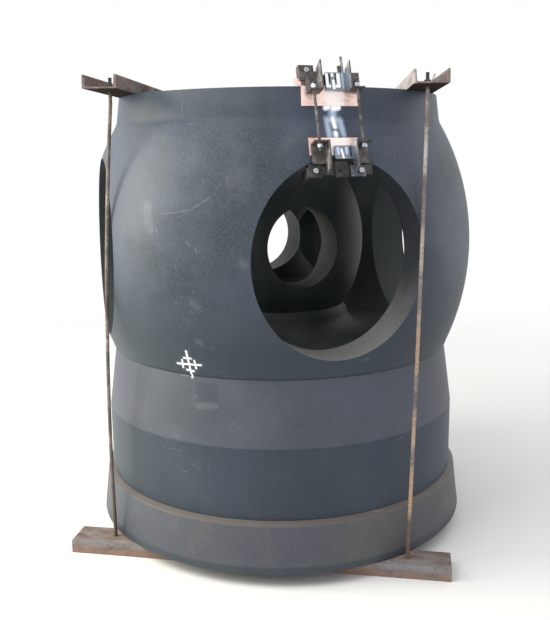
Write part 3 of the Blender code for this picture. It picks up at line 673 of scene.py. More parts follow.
def tie_rod_finish():
    """Round bar with rust that changes along it: mauve-brown, grey and straw, orange low on the right."""
    colours = settings().colours
    finish = Finish("rusty_bar", roughness=0.6, specular=0.3)
    spot = finish.position()
    x, _, z = finish.axes(spot)
    right = finish.smooth(x, -0.1, 0.1)
    bands = finish.noise(finish.stretched(spot, (3.0, 3.0, 6.5)), 1.0, 6.0, 0.7)
    flecks = finish.noise(spot, 120.0, 4.0, 0.75)
    warm = right * finish.smooth(z, 1.5, 0.9) * finish.smooth(bands, 0.44, 0.56)
    tone = finish.coated(
        finish.node("ShaderNodeValToRGB", {"stops": ROD_RUST}, {"Fac": bands + right * 0.12 - 0.05}),
        (warm * 0.6, colours.rust_orange),
        (finish.smooth(z, 0.28, 0.20) * 0.75, colours.rust_dark),
        (finish.smooth(flecks, 0.52, 0.64) * 0.75, colours.rust_dark),
        (finish.smooth(z, RIM_TOP - 0.02, CHANNEL_BOTTOM) * 0.9, colours.steel_dark),
    )
    return finish.dress(tone, 0.50 + flecks * 0.3, finish.bump(flecks, 0.0006, 0.6))


def bright_steel_finish(name, roughness, stain, shade):
    """Bare metal with fine brushing and a little staining."""
    finish = Finish(name, roughness=roughness, metallic=1.0)
    spot = finish.position()
    brushing = finish.noise(finish.stretched(spot, (900.0, 900.0, 30.0)), 1.0, 2.0, 0.5)
    patches = finish.noise(spot, 60.0, 4.0, 0.6)
    tone = finish.mix(finish.smooth(patches, 0.52, 0.74) * stain, shade, settings().colours.steel_dark)
    return finish.dress(tone, roughness + patches * 0.12, finish.bump(brushing, 0.0001, 0.3))


def ground_steel_finish():
    """Grey plate ground to vertical streaks."""
    colours = settings().colours
    finish = Finish("ground_steel", roughness=0.35, metallic=0.8)
    spot = finish.position()
    streaks = finish.noise(finish.stretched(spot, (120.0, 160.0, 9.0)), 1.0, 3.0, 0.6)
    stains = finish.noise(spot, 36.0, 3.0, 0.6)
    tone = finish.coated(
        colours.scale,
        (finish.smooth(streaks, 0.35, 0.65), colours.steel),
        (finish.smooth(stains, 0.60, 0.75) * 0.4, colours.rust),
    )
    return finish.dress(tone, 0.32 + streaks * 0.2, finish.bump(streaks, 0.0003, 0.4))


# How rusty each dark steel is, its deep shade and its light one.
DARK_STEELS = {
    "nut_steel": (0.25, (0.035, 0.038, 0.042), (0.110, 0.110, 0.115)),
    "bracket_steel": (0.40, (0.052, 0.046, 0.047), (0.165, 0.148, 0.145)),
    "plate_dark_steel": (0.10, (0.052, 0.046, 0.047), (0.165, 0.148, 0.145)),
    "leg_steel": (0.25, (0.090, 0.086, 0.088), (0.250, 0.242, 0.246)),
    "grey_plate_steel": (0.05, (0.070, 0.078, 0.096), (0.175, 0.192, 0.230)),
    "black_plate_steel": (0.05, (0.022, 0.023, 0.023), (0.070, 0.070, 0.068)),
    "clamp_rod_steel": (0.10, (0.085, 0.078, 0.078), (0.275, 0.258, 0.258)),
    "washer_steel": (0.10, (0.030, 0.030, 0.030), (0.100, 0.098, 0.095)),
}


def dark_steel_finish(name):
    """Dark hot-rolled steel with brown rust and bright worn places, as rusty and light as its name says."""
    colours = settings().colours
    rustiness, deep, light = DARK_STEELS[name]
    finish = Finish(name, roughness=0.5, metallic=0.45)
    spot = finish.position()
    patches = finish.noise(spot, 38.0, 5.0, 0.65, 0.3)
    clouds = finish.noise(spot, 16.0, 3.0, 0.5)
    grain = finish.noise(spot, 420.0, 3.0, 0.7)
    tone = finish.coated(
        deep,
        (finish.smooth(patches, 0.38, 0.66), light),
        (finish.smooth(clouds, 0.62 - rustiness * 0.4, 0.80 - rustiness * 0.3) * 0.8, colours.rust_dark),
        (finish.smooth(grain, 0.58, 0.75) * 0.4, colours.rust_pale),
    )
    return finish.dress(tone, 0.42 + patches * 0.22, finish.bump(grain * 0.6 + patches, 0.0005, 0.6))


def copper_finish():
    """Soft bright copper sheet: hammered lightly, with darker tarnish clouds and a painted glare down the
    middle.
    """
    colours = settings().colours
    finish = Finish("copper_sheet", roughness=0.36, metallic=0.9)
    spot = finish.position()
    clouds = finish.noise(spot, 26.0, 4.0, 0.6, 0.4)
    dents = finish.noise(spot, 48.0, 2.0, 0.5)
    grain = finish.noise(spot, 520.0, 2.0, 0.6)
    off_middle = abs(finish.axes(spot)[0] - 0.004 + (dents - 0.5) * 0.04)
    tone = finish.coated(
        colours.copper,
        (finish.smooth(clouds, 0.50, 0.74) * 0.55, colours.copper_stain),
        # Painted glare down the middle of the sheet.
        (finish.smooth(off_middle, 0.060, 0.020) * 0.9, colours.copper_glare),
    )
    return finish.dress(tone, 0.30 + clouds * 0.22, finish.bump(dents * 2.2 + grain * 0.2, 0.0010, 0.6))


def smoothed(obj):
    """Shades an object smooth, with its sharp edges kept."""
    obj.data.shade_smooth()
    obj.data.set_sharp_from_angle(angle=SHARP)
    return obj


def scene_mesh(name, bm, materials=(), smooth=True):
    """A new object from a bmesh, whose faces are turned outward first."""
    bmesh.ops.recalc_face_normals(bm, faces=bm.faces[:])
    mesh = bpy.data.meshes.new(name)
    bm.to_mesh(mesh)
    bm.free()
    for material in materials:
        mesh.materials.append(material)
    made = bpy.data.objects.new(name, mesh)
    bpy.context.scene.collection.objects.link(made)
    return smoothed(made) if smooth else made


def seat(piece, slot, *nodes):
    """The piece rides on the one body, and stands for the solids that it replaces."""
    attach(piece, "root")
    if nodes:
        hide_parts(*nodes)
    return piece


def applied(obj):
    """Bakes an object's modifiers into its mesh."""
    bpy.context.view_layer.update()
    evaluated = obj.evaluated_get(bpy.context.evaluated_depsgraph_get())
    mesh = bpy.data.meshes.new_from_object(evaluated)
    obj.modifiers.clear()
    old, obj.data = obj.data, mesh
    bpy.data.meshes.remove(old)
    mesh.name = obj.name
    return obj


def cut(obj, void):
    """Cuts the shape of a bmesh out of an object."""
    cutter = scene_mesh("void", void, smooth=False)
    modifier = obj.modifiers.new("cut", "BOOLEAN")
    modifier.operation = "DIFFERENCE"
    modifier.solver = "EXACT"
    modifier.object = cutter
    applied(obj)
    bpy.data.objects.remove(cutter)


def steps(first, last, count):
    return [first + (last - first) * k / (count - 1) for k in range(count)]


def circle(radius, sides):
    return [
        (radius * math.cos(2 * math.pi * k / sides), radius * math.sin(2 * math.pi * k / sides))
        for k in range(sides)
    ]


def rounded(corners, arc_steps=5):
    """A closed outline of (x, y, rounding) corners with each rounded corner drawn as an arc."""
    outline = []
    count = len(corners)
    for index, (x, y, rounding) in enumerate(corners):
        here = Vector((x, y))
        if not rounding:
            outline.append(here)
            continue
        before = (Vector(corners[index - 1][:2]) - here).normalized()
        after = (Vector(corners[(index + 1) % count][:2]) - here).normalized()
        half = before.angle(after) / 2
        reach = rounding / math.tan(half)
        centre = here + (before + after).normalized() * rounding / math.sin(half)
        start, end = here + before * reach, here + after * reach
        a, b = start - centre, end - centre
        sweep = math.atan2(a.x * b.y - a.y * b.x, a.dot(b))
        for turn in steps(0, sweep, arc_steps):
            c, s = math.cos(turn), math.sin(turn)
            outline.append(centre + Vector((a.x * c - a.y * s, a.x * s + a.y * c)))
    return [(point.x, point.y) for point in outline]


def plate_outline(left, right, low, high, rounding, top_rounding=None):
    """A rectangle with rounded corners, whose upper corners can have a rounding of their own."""
    above = rounding if top_rounding is None else top_rounding
    return rounded([
        (left, low, rounding), (right, low, rounding), (right, high, above), (left, high, above),
    ])


def skinned(bm, rings, closed=False):
    """Faces between rings of vertices that follow each other, capped unless the last meets the first."""
    if not closed:
        bm.faces.new(rings[0])
        bm.faces.new(rings[-1])
    for here, there in zip(rings, rings[1:] + rings[:1] if closed else rings[1:]):
        for k in range(len(here)):
            following = (k + 1) % len(here)
            bm.faces.new((here[k], here[following], there[following], there[k]))
    return bm


def turned(profile, turn_steps):
    """A closed (radius, height) profile turned about Z."""
    bm = bmesh.new()
    rings = [[bm.verts.new((r * c, r * s, z)) for r, z in profile] for c, s in circle(1.0, turn_steps)]
    return skinned(bm, rings, closed=True)


def prism(outline, low, high, levels=2):
    """An (x, y) outline raised from one height to another in a number of levels."""
    bm = bmesh.new()
    rings = [[bm.verts.new((x, y, z)) for x, y in outline] for z in steps(low, high, levels)]
    return skinned(bm, rings)


# Stands up an outline that is drawn flat, with its depth turned outward.
UPRIGHT = Matrix(((1, 0, 0, 0), (0, 0, -1, 0), (0, 1, 0, 0), (0, 0, 0, 1)))


def moved(bm, matrix):
    bmesh.ops.transform(bm, matrix=matrix, verts=bm.verts[:])
    return bm


def oval(height, middle, radius, half_height):
    return radius * math.sqrt(1 - ((height - middle) / half_height) ** 2)


def quarter_arc(start, end, count):
    """Points of a hollow fillet that leaves its start level and reaches its end upright."""
    return [
        (start[0] + (end[0] - start[0]) * math.sin(a), start[1] + (end[1] - start[1]) * (1 - math.cos(a)))
        for a in steps(0, math.pi / 2, count)
    ]


BELLY_POINTS = 46
SHELL_POINTS = 30
FOOT_POINTS = 14
BOSS_POINTS = 34
EDGE_ROUNDING = 0.004
LOWER_EDGE = 0.006
LOWER_LIP = 0.012
BELLY_START = 0.030
NECK_RUN_IN = 0.05
CEILING_CORNER = 0.012
CEILING_DROP = 0.02
FLOOR_CORNER = 0.03
FLOOR_RUN_OUT = (0.04, 0.065)
BOSS_SHOULDER = 0.012


def casting_corners():
    """The casting's section as (radius, height, rounding) corners, from the underside out and up."""
    hub = settings().hub

    def bulge(radius, half_height, first, last, count):
        """Points of an oval that is widest at the belly's height."""
        return [(oval(z, hub.belly_height, radius, half_height), z, 0) for z in steps(first, last, count)]

    belly = bulge(
        hub.belly_radius, hub.belly_half_height, CASTING_LOW.z + BELLY_START, hub.belly_top - NECK_RUN_IN,
        BELLY_POINTS,
    )
    top_of_belly = oval(hub.belly_top, hub.belly_height, hub.belly_radius, hub.belly_half_height)
    outside = [
        (hub.passage_radius, CASTING_LOW.z, 0),
        (hub.low_radius - LOWER_EDGE, CASTING_LOW.z, LOWER_EDGE),
        (hub.low_radius + 0.001, CASTING_LOW.z + LOWER_LIP, EDGE_ROUNDING),
        *belly,
        (top_of_belly, hub.belly_top, hub.neck_rounding * 0.8),
        (hub.neck_radius, hub.neck_height, hub.neck_rounding),
        (hub.rim_radius, RIM_TOP, hub.edge_break),
        (hub.opening_radius, RIM_TOP, hub.edge_break),
        (hub.opening_radius, hub.cavity_top, CEILING_CORNER),
    ]
    inward, upward = FLOOR_RUN_OUT
    shell = bulge(
        hub.cavity_radius, hub.cavity_half_height, hub.cavity_top - CEILING_DROP, hub.cavity_floor + upward,
        SHELL_POINTS,
    )
    floor_edge = [(shell[-1][0] - inward, hub.cavity_floor, FLOOR_CORNER)]
    foot_top = hub.cavity_floor + hub.boss_foot_rise
    fillet = quarter_arc((hub.boss_foot, hub.cavity_floor), (hub.boss_waist, foot_top), FOOT_POINTS)
    foot = [(r, z, 0) for r, z in fillet]
    boss = bulge(
        hub.boss_radius, hub.boss_half_height, foot_top + FLOOR_CORNER, hub.boss_top - BOSS_SHOULDER,
        BOSS_POINTS,
    )
    passage = [
        (boss[-1][0] - BOSS_SHOULDER, hub.boss_top, EDGE_ROUNDING),
        (hub.passage_radius, hub.boss_top, EDGE_ROUNDING),
        (hub.passage_radius, hub.chamber_high + hub.chamber_bevel, 0),
        (hub.chamber_radius, hub.chamber_high, 0),
        (hub.chamber_radius, hub.chamber_low, 0),
        (hub.passage_radius, hub.chamber_low - hub.chamber_bevel, 0),
    ]
    return outside + shell + floor_edge + foot + boss + passage


def bore_voids(turns, radius, near, far):
    """The voids of some bores, each along the radius at its turn about Z, as one mesh."""
    hub = settings().hub
    whole = bmesh.new()
    scrap = bpy.data.meshes.new("bore_void")
    for turn in turns:
        bm = prism(circle(radius, hub.bore_steps), near, far)
        taller = Matrix.Scale(hub.bore_stretch, 4, (0, 0, 1))
        lie_down = Matrix.Rotation(math.pi / 2, 4, "X")
        lift = Matrix.Translation((0, 0, hub.bore_height))
        moved(bm, lift @ Matrix.Rotation(turn, 4, "Z") @ taller @ lie_down)
        bmesh.ops.recalc_face_normals(bm, faces=bm.faces[:])
        bm.to_mesh(scrap)
        bm.free()
        whole.from_mesh(scrap)
    bpy.data.meshes.remove(scrap)
    return whole


def from_bore_axis(point, hub):
    """Distance of a point from the axis of the nearest bores, with the bores' stretch taken out."""
    across = min(abs(point.x), abs(point.y))
    return math.hypot(across, (point.z - hub.bore_height) / hub.bore_stretch)


CAVITY, BORE_WALL = 1, 2
BLADE_BORE_REACH = (0.50, 1.05)
BEARING_BORE_REACH = (-0.47, 0.47)
BLADE_WALL_NEAR = 0.004
BEARING_WALL_NEAR = 0.003
WALL_SLOPE = 0.25


def casting_parts(mesh):
    """Gives the faces of the cavity and of the bore walls their finishes; the others keep the first."""
    hub = settings().hub
    in_boss, low, high = hub.boss_radius + 0.01, CASTING_LOW.z + 0.03, RIM_TOP - 0.02
    for face in mesh.polygons:
        spot, normal = face.center, face.normal
        out = math.hypot(spot.x, spot.y)
        off_axis = from_bore_axis(spot, hub)
        along_axis = normal.y if abs(spot.y) > abs(spot.x) else normal.x
        wall = abs(off_axis - hub.bore_radius) < BLADE_WALL_NEAR and out > hub.boss_radius + 0.02
        bearing = abs(off_axis - hub.bearing_radius) < BEARING_WALL_NEAR and out < in_boss
        if (wall or bearing) and abs(along_axis) < WALL_SLOPE:
            face.material_index = BORE_WALL
        elif spot.z < high and (out < in_boss or out < hub.cavity_radius and spot.z > low):
            face.material_index = CAVITY


class RUNNERHUB_OT_casting(bpy.types.Operator):
    """Turn the hub casting and cut its blade bores and bearing bores"""

    bl_idname = "runner_hub.casting"
    bl_label = "Hub casting"

    def execute(self, context):
        hub, colours = settings().hub, settings().colours
        paint = primer_finish(
            "hub_primer", colours.primer_deep, colours.primer, colours.primer_pale,
            (
                # Painted shade: the lower half of the belly and the neck are darkened.
                (0.70, 1.16, 0.26, 0.90, colours.primer_deep),
                (1.885, 2.10, 0.02, 0.30, colours.primer_deep),
            ),
        )
        casting = scene_mesh(
            "hub_casting_fine", turned(rounded(casting_corners()), hub.turn_steps),
            [paint, cavity_finish(), bore_finish()], smooth=False,
        )
        quarter = math.pi / 2
        cut(casting, bore_voids([k * quarter for k in range(4)], hub.bore_radius, *BLADE_BORE_REACH))
        for turn in (0, quarter):
            cut(casting, bore_voids([turn], hub.bearing_radius, *BEARING_BORE_REACH))
        casting_parts(casting.data)
        casting.data.shade_smooth()
        for face in casting.data.polygons:
            face.use_smooth = face.material_index != BORE_WALL
        casting.data.set_sharp_from_angle(angle=SHARP)
        seat(casting, "grey_primer", "hub_casting", "bearing_boss")
        return {"FINISHED"}


class RUNNERHUB_OT_barrel(bpy.types.Operator):
    """Turn the lower barrel and the base ring"""

    bl_idname = "runner_hub.barrel"
    bl_label = "Barrel and base ring"

    def execute(self, context):
        hub, colours = settings().hub, settings().colours
        barrel_paint = primer_finish(
            "barrel_primer", colours.primer_deep, colours.barrel, colours.barrel_pale,
            (
                # Painted light on the barrel's upper part, painted shade on its lower part.
                (hub.barrel_height, 0.90, 0.004, 0.35, colours.barrel_pale),
                (0.20, hub.barrel_height, 0.004, 0.60, colours.primer_deep),
            ),
        )
        barrel = rounded([
            (hub.skirt_inner, BARREL_LOW.z, 0), (hub.shoulder_inner, BARREL_LOW.z, 0.002),
            (hub.barrel_radius, hub.barrel_height, 0.05),
            (hub.barrel_top_radius, BARREL_HIGH.z, 0.004), (hub.skirt_inner, BARREL_HIGH.z, 0),
        ], arc_steps=7)
        ring_paint = primer_finish(
            "base_ring_primer", colours.base_deep, colours.base, colours.base_pale,
            (
                (hub.shoulder_low - 0.004, 0.30, 0.002, 0.85, colours.shoulder),
                (0.0, HUB_BASE + 0.030, 0.006, 0.6, colours.primer_deep),
            ),
        )
        ring = rounded([
            (hub.skirt_inner, BASE_LOW.z, 0), (hub.base_radius, BASE_LOW.z, 0.005),
            (hub.shoulder_outer, hub.shoulder_low, 0.004), (hub.shoulder_inner, BASE_HIGH.z, 0.002),
            (hub.skirt_inner, BASE_HIGH.z, 0),
        ])
        for node, section, paint in (
            ("lower_barrel", barrel, barrel_paint), ("base_ring", ring, ring_paint),
        ):
            made = scene_mesh(f"{node}_fine", turned(section, hub.turn_steps), [paint])
            seat(made, "dark_primer", node)
        return {"FINISHED"}


WEB_EDGE = 0.0015
TOE_EDGE = 0.0010


def channel_outline(leg_direction):
    """The channel's section as (across, height), web at height 0, legs up (1) or down (-1)."""
    lashing = settings().lashing
    half, rise, web = lashing.channel_width / 2, lashing.channel_height, lashing.web
    toe, root = half - lashing.leg, half - lashing.leg - lashing.leg_taper
    corners = [
        (-half, 0, WEB_EDGE), (half, 0, WEB_EDGE), (half, rise, TOE_EDGE), (toe, rise, lashing.toe_rounding),
        (root, web, lashing.root_rounding), (-root, web, lashing.root_rounding),
        (-toe, rise, lashing.toe_rounding), (-half, rise, TOE_EDGE),
    ]
    return [(x, y * leg_direction) for x, y in rounded(corners)]


CHANNEL_LEVELS = 60
WAVE_SCALE = 3.0
WAVE_HEIGHT = 0.0007
SAW_SCALE = 90.0
SAW_DEPTH = 0.0022
SAWN_END = 0.001
HOLE_SIDES = 32
HOLE_HALF_LENGTH = 0.05


def rolled_channel(name, run, leg_direction, material, holes):
    """A sawn length of channel along its own X, with holes for the rods at some places along it."""
    outline = channel_outline(leg_direction)
    if leg_direction < 0:
        outline.reverse()
    bm = prism(outline, -run / 2, run / 2, CHANNEL_LEVELS)
    moved(bm, Matrix(((0, 0, 1, 0), (1, 0, 0, 0), (0, 1, 0, 0), (0, 0, 0, 1))))
    for vert in bm.verts:
        wave = noise.noise(vert.co * WAVE_SCALE + Vector((run, leg_direction, 0)))
        vert.co.y += wave * WAVE_HEIGHT
        if abs(vert.co.x) > run / 2 - SAWN_END:
            vert.co.x -= math.copysign(abs(noise.noise(vert.co * SAW_SCALE)) * SAW_DEPTH, vert.co.x)
    made = scene_mesh(name, bm, [material], smooth=False)
    for spot in holes:
        rim = circle(settings().lashing.hole_radius, HOLE_SIDES)
        hole = prism(rim, -HOLE_HALF_LENGTH, HOLE_HALF_LENGTH)
        cut(made, moved(hole, Matrix.Translation((spot, 0, 0))))
    return smoothed(made)


def lashing_matrix():
    return Matrix.Rotation(settings().lashing.turn, 4, "Z")


def beam_point(side, end):
    """Where a tie rod meets a bottom beam: side -1 is the front beam, end -1 its left end."""
    lashing = settings().lashing
    middle = Vector((side * lashing.beam_shift, side * lashing.beam_distance, 0))
    along = Vector((math.cos(lashing.beam_skew), math.sin(lashing.beam_skew), 0))
    return middle + end * lashing.rod_foot_reach * along


class RUNNERHUB_OT_channels(bpy.types.Operator):
    """Roll the two top channels and the two bottom beams"""

    bl_idname = "runner_hub.channels"
    bl_label = "Channels and beams"

    def execute(self, context):
        lashing = settings().lashing
        top_steels = {
            "left": rolled_steel_finish("channel_steel"),
            "right": rolled_steel_finish("chalky_channel_steel", chalky=0.8),
        }
        beam_steel = rolled_steel_finish("beam_steel", worn_band=lashing.channel_width / 2)
        reach = lashing.rod_top_reach
        for end, hand in ((-1, "left"), (1, "right")):
            top = rolled_channel(
                f"top_channel_{hand}_fine", lashing.channel_length, 1, top_steels[hand], (-reach, reach)
            )
            stand = Matrix.Translation((end * lashing.channel_offset, 0, CHANNEL_BOTTOM))
            top.matrix_world = lashing_matrix() @ stand @ Matrix.Rotation(math.pi / 2, 4, "Z")
            seat(top, "rusty_steel", f"top_channel_{hand}")
        for side, place_name in ((-1, "front"), (1, "back")):
            ends = [beam_point(side, end) for end in (-1, 1)]
            middle = (ends[0] + ends[1]) / 2
            beam = rolled_channel(
                f"bottom_beam_{place_name}_fine", lashing.beam_length, -1, beam_steel,
                (-lashing.rod_foot_reach, lashing.rod_foot_reach),
            )
            stand = Matrix.Translation((middle.x, middle.y, BEAM_TOP))
            beam.matrix_world = lashing_matrix() @ stand @ Matrix.Rotation(lashing.beam_skew, 4, "Z")
            seat(beam, "rusty_steel", f"bottom_beam_{place_name}")
        return {"FINISHED"}


ROD_POINTS = 65


def tie_rod_path(side, end):
    """Straight down through the channel, round the belly and straight down into the beam."""
    lashing, hub = settings().lashing, settings().hub
    top = Vector((end * lashing.channel_offset, side * lashing.rod_top_reach, 0))
    foot = beam_point(side, end)
    reach = hub.belly_radius + lashing.rod_radius + lashing.rod_belly_gap
    turn = lashing.left_belly if end == side else lashing.right_belly
    turn += 0 if side < 0 else math.pi
    belly = Vector((reach * math.cos(turn), reach * math.sin(turn), 0))
    top_height, foot_height = CHANNEL_BOTTOM - lashing.rod_straight, BEAM_TOP + lashing.rod_straight
    middle = (top_height - hub.belly_height) / (top_height - foot_height)
    path = [top + Vector((0, 0, CHANNEL_BOTTOM + lashing.web + lashing.rod_top_stub))]
    for done in steps(0, 1, ROD_POINTS):
        weights = (
            (done - middle) * (done - 1) / middle,
            done * (done - 1) / (middle * (middle - 1)),
            done * (done - middle) / (1 - middle),
        )
        flat = weights[0] * top + weights[1] * belly + weights[2] * foot
        path.append(Vector((flat.x, flat.y, top_height + (foot_height - top_height) * done)))
    low = BEAM_TOP - lashing.web - lashing.nut_height - lashing.rod_foot_stub
    path.append(foot + Vector((0, 0, low)))
    return path


THREAD_DEPTH = 0.55
END_CHAMFER = 0.22


def threaded(path, radius, pitch, threads, sides=18):
    """A round bar along a path that runs mostly down, with its thread cut between some heights."""
    rows = []
    for above, below in zip(path, path[1:]):
        middle = (above.z + below.z) / 2
        cut_here = any(low <= middle <= high for low, high in threads)
        count = max(1, round((above.z - below.z) / (pitch / 4))) if cut_here else 1
        rows += [(above.lerp(below, k / count), cut_here) for k in range(count)]
    rows.append((path[-1], False))
    bm = bmesh.new()
    rings = []
    for index, (point, cut_here) in enumerate(rows):
        before, after = rows[max(index - 1, 0)][0], rows[min(index + 1, len(rows) - 1)][0]
        along = (after - before).normalized()
        across = Vector((1, 0, 0))
        across = (across - across.dot(along) * along).normalized()
        third = along.cross(across)
        ring = []
        for k, (c, s) in enumerate(circle(1.0, sides)):
            depth = 0.0
            if cut_here:
                phase = (point.z / pitch + k / sides) % 1.0
                depth = abs(phase - 0.5) * 2 * pitch * THREAD_DEPTH
            if index in (0, len(rows) - 1):
                depth = radius * END_CHAMFER
            ring.append(bm.verts.new(point + (radius - depth) * (c * across + s * third)))
        rings.append(ring)
    return skinned(bm, rings)


def hexagon_reach(turn, radius):
    """Distance from the centre to a hexagon's side in a direction."""
    off = (turn + math.pi / 6) % (math.pi / 3) - math.pi / 6
    return radius * math.cos(math.pi / 6) / math.cos(math.pi / 6 - abs(off))


# A nut's rings: up its outside as (share of the height, share of the radius that is turned off), and
# down its hole as (share of the height, share of the hole's radius).
NUT_LEVELS = ((0.0, 0.14), (0.05, 0.084), (0.13, 0.0), (0.87, 0.0), (0.95, 0.084), (1.0, 0.14))
HOLE_LEVELS = ((1.0, 1.12), (0.93, 1.0), (0.07, 1.0), (0.0, 1.12))


def hex_nut(radius, height, hole, sides=48):
    """A hexagon nut standing on Z = 0, with its corners turned off and its hole countersunk."""
    bm = bmesh.new()
    rings = []
    for up, narrower in NUT_LEVELS:
        ring = []
        for k, (c, s) in enumerate(circle(1.0, sides)):
            reach = min(hexagon_reach(2 * math.pi * k / sides, radius), radius - radius * narrower)
            ring.append(bm.verts.new((reach * c, reach * s, up * height)))
        rings.append(ring)
    for up, wider in HOLE_LEVELS:
        rings.append([bm.verts.new((x * wider, y * wider, up * height)) for x, y in circle(hole, sides)])
    return skinned(bm, rings, closed=True)


BROKEN_EDGE = 0.0008
SAME_PLACE = 0.00002
FLAT = math.radians(1)
EDGE_TO_BREAK = math.radians(25)


def softened(node, materials):
    """A finer copy of a small solid, with its flats made whole and its edges broken."""
    bm = bmesh.new()
    bm.from_mesh(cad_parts[node].data)
    bmesh.ops.remove_doubles(bm, verts=bm.verts[:], dist=SAME_PLACE)
    bmesh.ops.dissolve_limit(bm, angle_limit=FLAT, verts=bm.verts[:], edges=bm.edges[:])
    sharp = [edge for edge in bm.edges if edge.is_manifold and edge.calc_face_angle() > EDGE_TO_BREAK]
    bmesh.ops.bevel(
        bm, geom=sharp, offset=BROKEN_EDGE, offset_type="OFFSET", segments=2, profile=0.6,
        affect="EDGES", clamp_overlap=True,
    )
    return scene_mesh(f"{node}_fine", bm, materials)


# The tab from its side, as (away from the rod, up).
TAB_OUTLINE = (
    (0.010, 0.0), (0.017, 0.0), (0.032, 0.036), (0.028, 0.038), (0.015, 0.003), (0.010, 0.003),
)
TAB_HALF_WIDTH = 0.012
TOP_THREAD = (CHANNEL_BOTTOM - 0.045, CHANNEL_BOTTOM + 0.07)
FOOT_THREAD = (0.0, BEAM_TOP + 0.03)
TWIST_BY_END = 0.7


def lock_tab(material):
    """The bent plate beside the front right rod's upper nut, leaning outward."""
    lashing = settings().lashing
    low = CHANNEL_BOTTOM + lashing.web + lashing.washer_thickness + 2 * SEAT_GAP
    corner = Vector((lashing.channel_offset, -lashing.rod_top_reach, low))
    plate = moved(prism(TAB_OUTLINE, -TAB_HALF_WIDTH, TAB_HALF_WIDTH), UPRIGHT)
    made = scene_mesh("lock_tab", plate, [material])
    made.matrix_world = lashing_matrix() @ Matrix.Translation(corner)
    return seat(made, "worn_steel")


class RUNNERHUB_OT_tie_rods(bpy.types.Operator):
    """Bend the four tie rods round the belly, and add their plates and nuts"""

    bl_idname = "runner_hub.tie_rods"
    bl_label = "Tie rods"

    def execute(self, context):
        lashing = settings().lashing
        bar, plate = tie_rod_finish(), rolled_steel_finish("plate_steel")
        dark = dark_steel_finish("nut_steel")
        lock_tab(ground_steel_finish())
        for side, place_name in ((-1, "front"), (1, "back")):
            for end, hand in ((-1, "left"), (1, "right")):
                label = f"{place_name}_{hand}"
                path = [lashing_matrix() @ point for point in tie_rod_path(side, end)]
                rod = threaded(path, lashing.rod_radius, lashing.thread_pitch, (TOP_THREAD, FOOT_THREAD))
                seat(scene_mesh(f"tie_rod_{label}_fine", rod, [bar]), "rusty_steel", f"tie_rod_{label}")
                seat(softened(f"washer_plate_{label}", [plate]), "rusty_steel", f"washer_plate_{label}")
                for place_of_nut, slot in (("top", "worn_steel"), ("foot", "rusty_steel")):
                    node = f"{place_of_nut}_nut_{label}"
                    low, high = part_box(node)
                    nut = hex_nut(lashing.nut_radius, high.z - low.z, lashing.rod_radius + SEAT_GAP)
                    twist = Matrix.Rotation(side + end * TWIST_BY_END, 4, "Z")
                    centre = Matrix.Translation(((low.x + high.x) / 2, (low.y + high.y) / 2, low.z))
                    seat(scene_mesh(f"{node}_fine", moved(nut, centre @ twist), [dark]), slot, node)
        return {"FINISHED"}


def clamp_matrix():
    """The clamp's frame: X along the wall, -Y out from it, Z up along the threaded rods."""
    corner = Matrix.Translation((0, -settings().hub.rim_radius, RIM_TOP))
    return corner @ Matrix.Rotation(-settings().clamp.tilt, 4, "X")


def in_clamp(made):
    """Stands a piece that is drawn in the clamp's frame in its place."""
    made.matrix_world = clamp_matrix()
    return made


def wall_profile():
    """The casting's outside near the clamp as (radius, height) points, going down from the rim."""
    hub = settings().hub
    wall = [
        (r, z) for r, z in rounded(casting_corners())
        if r > hub.rim_radius - 0.001 and hub.bore_height < z < RIM_TOP
    ]
    return sorted(wall, key=lambda point: -point[1])


def wall_radius(profile, height):
    for (r_high, z_high), (r_low, z_low) in zip(profile, profile[1:]):
        if z_low <= height <= z_high:
            return r_low + (r_high - r_low) * (height - z_low) / (z_high - z_low)
    return profile[0][0]


def up_wall(low, high, lift, count):
    """A (radius, height) path up the casting's wall, at some distance from it."""
    wall = wall_profile()
    return [(wall_radius(wall, z) + lift, z) for z in steps(low, high, count)]


def draped(name, sides, path, thickness, material, columns=44, ripple=0.0):
    """A sheet bent round the hub along a (radius, height) path, with a soft ripple and real thickness."""
    clamp = settings().clamp
    bm = bmesh.new()
    rows = []
    for row, (radius, height) in enumerate(path):
        line = []
        for x in steps(*sides, columns):
            turn = x / clamp.pad_radius
            lift = ripple * (0.5 + noise.noise(Vector((x * 30, row * 0.35, ripple * 900))))
            r = radius + lift
            line.append(bm.verts.new((r * math.sin(turn), -r * math.cos(turn), height + lift * 0.3)))
        rows.append(line)
    for here, there in zip(rows, rows[1:]):
        for k in range(columns - 1):
            bm.faces.new((here[k], here[k + 1], there[k + 1], there[k]))
    made = scene_mesh(name, bm, [material])
    solid = made.modifiers.new("thickness", "SOLIDIFY")
    solid.thickness, solid.offset = thickness, 0.0
    return smoothed(applied(made))


TOP_PAD_SIDES = (-0.136, 0.115)
BOTTOM_PAD_SIDES = (-0.117, 0.082)
STRIP_SIDES = (-0.050, 0.047)
STRIP_THICKNESS = 0.0014
STRIP_LIFT = 0.0013
FOLD_RADIUS = 0.003
FOLD_START = 0.2
FLAP_HEIGHT = 0.002
FLAP_REACH = (0.004, 0.031)
TOP_RIPPLE = 0.0012
BOTTOM_RIPPLE = 0.0010


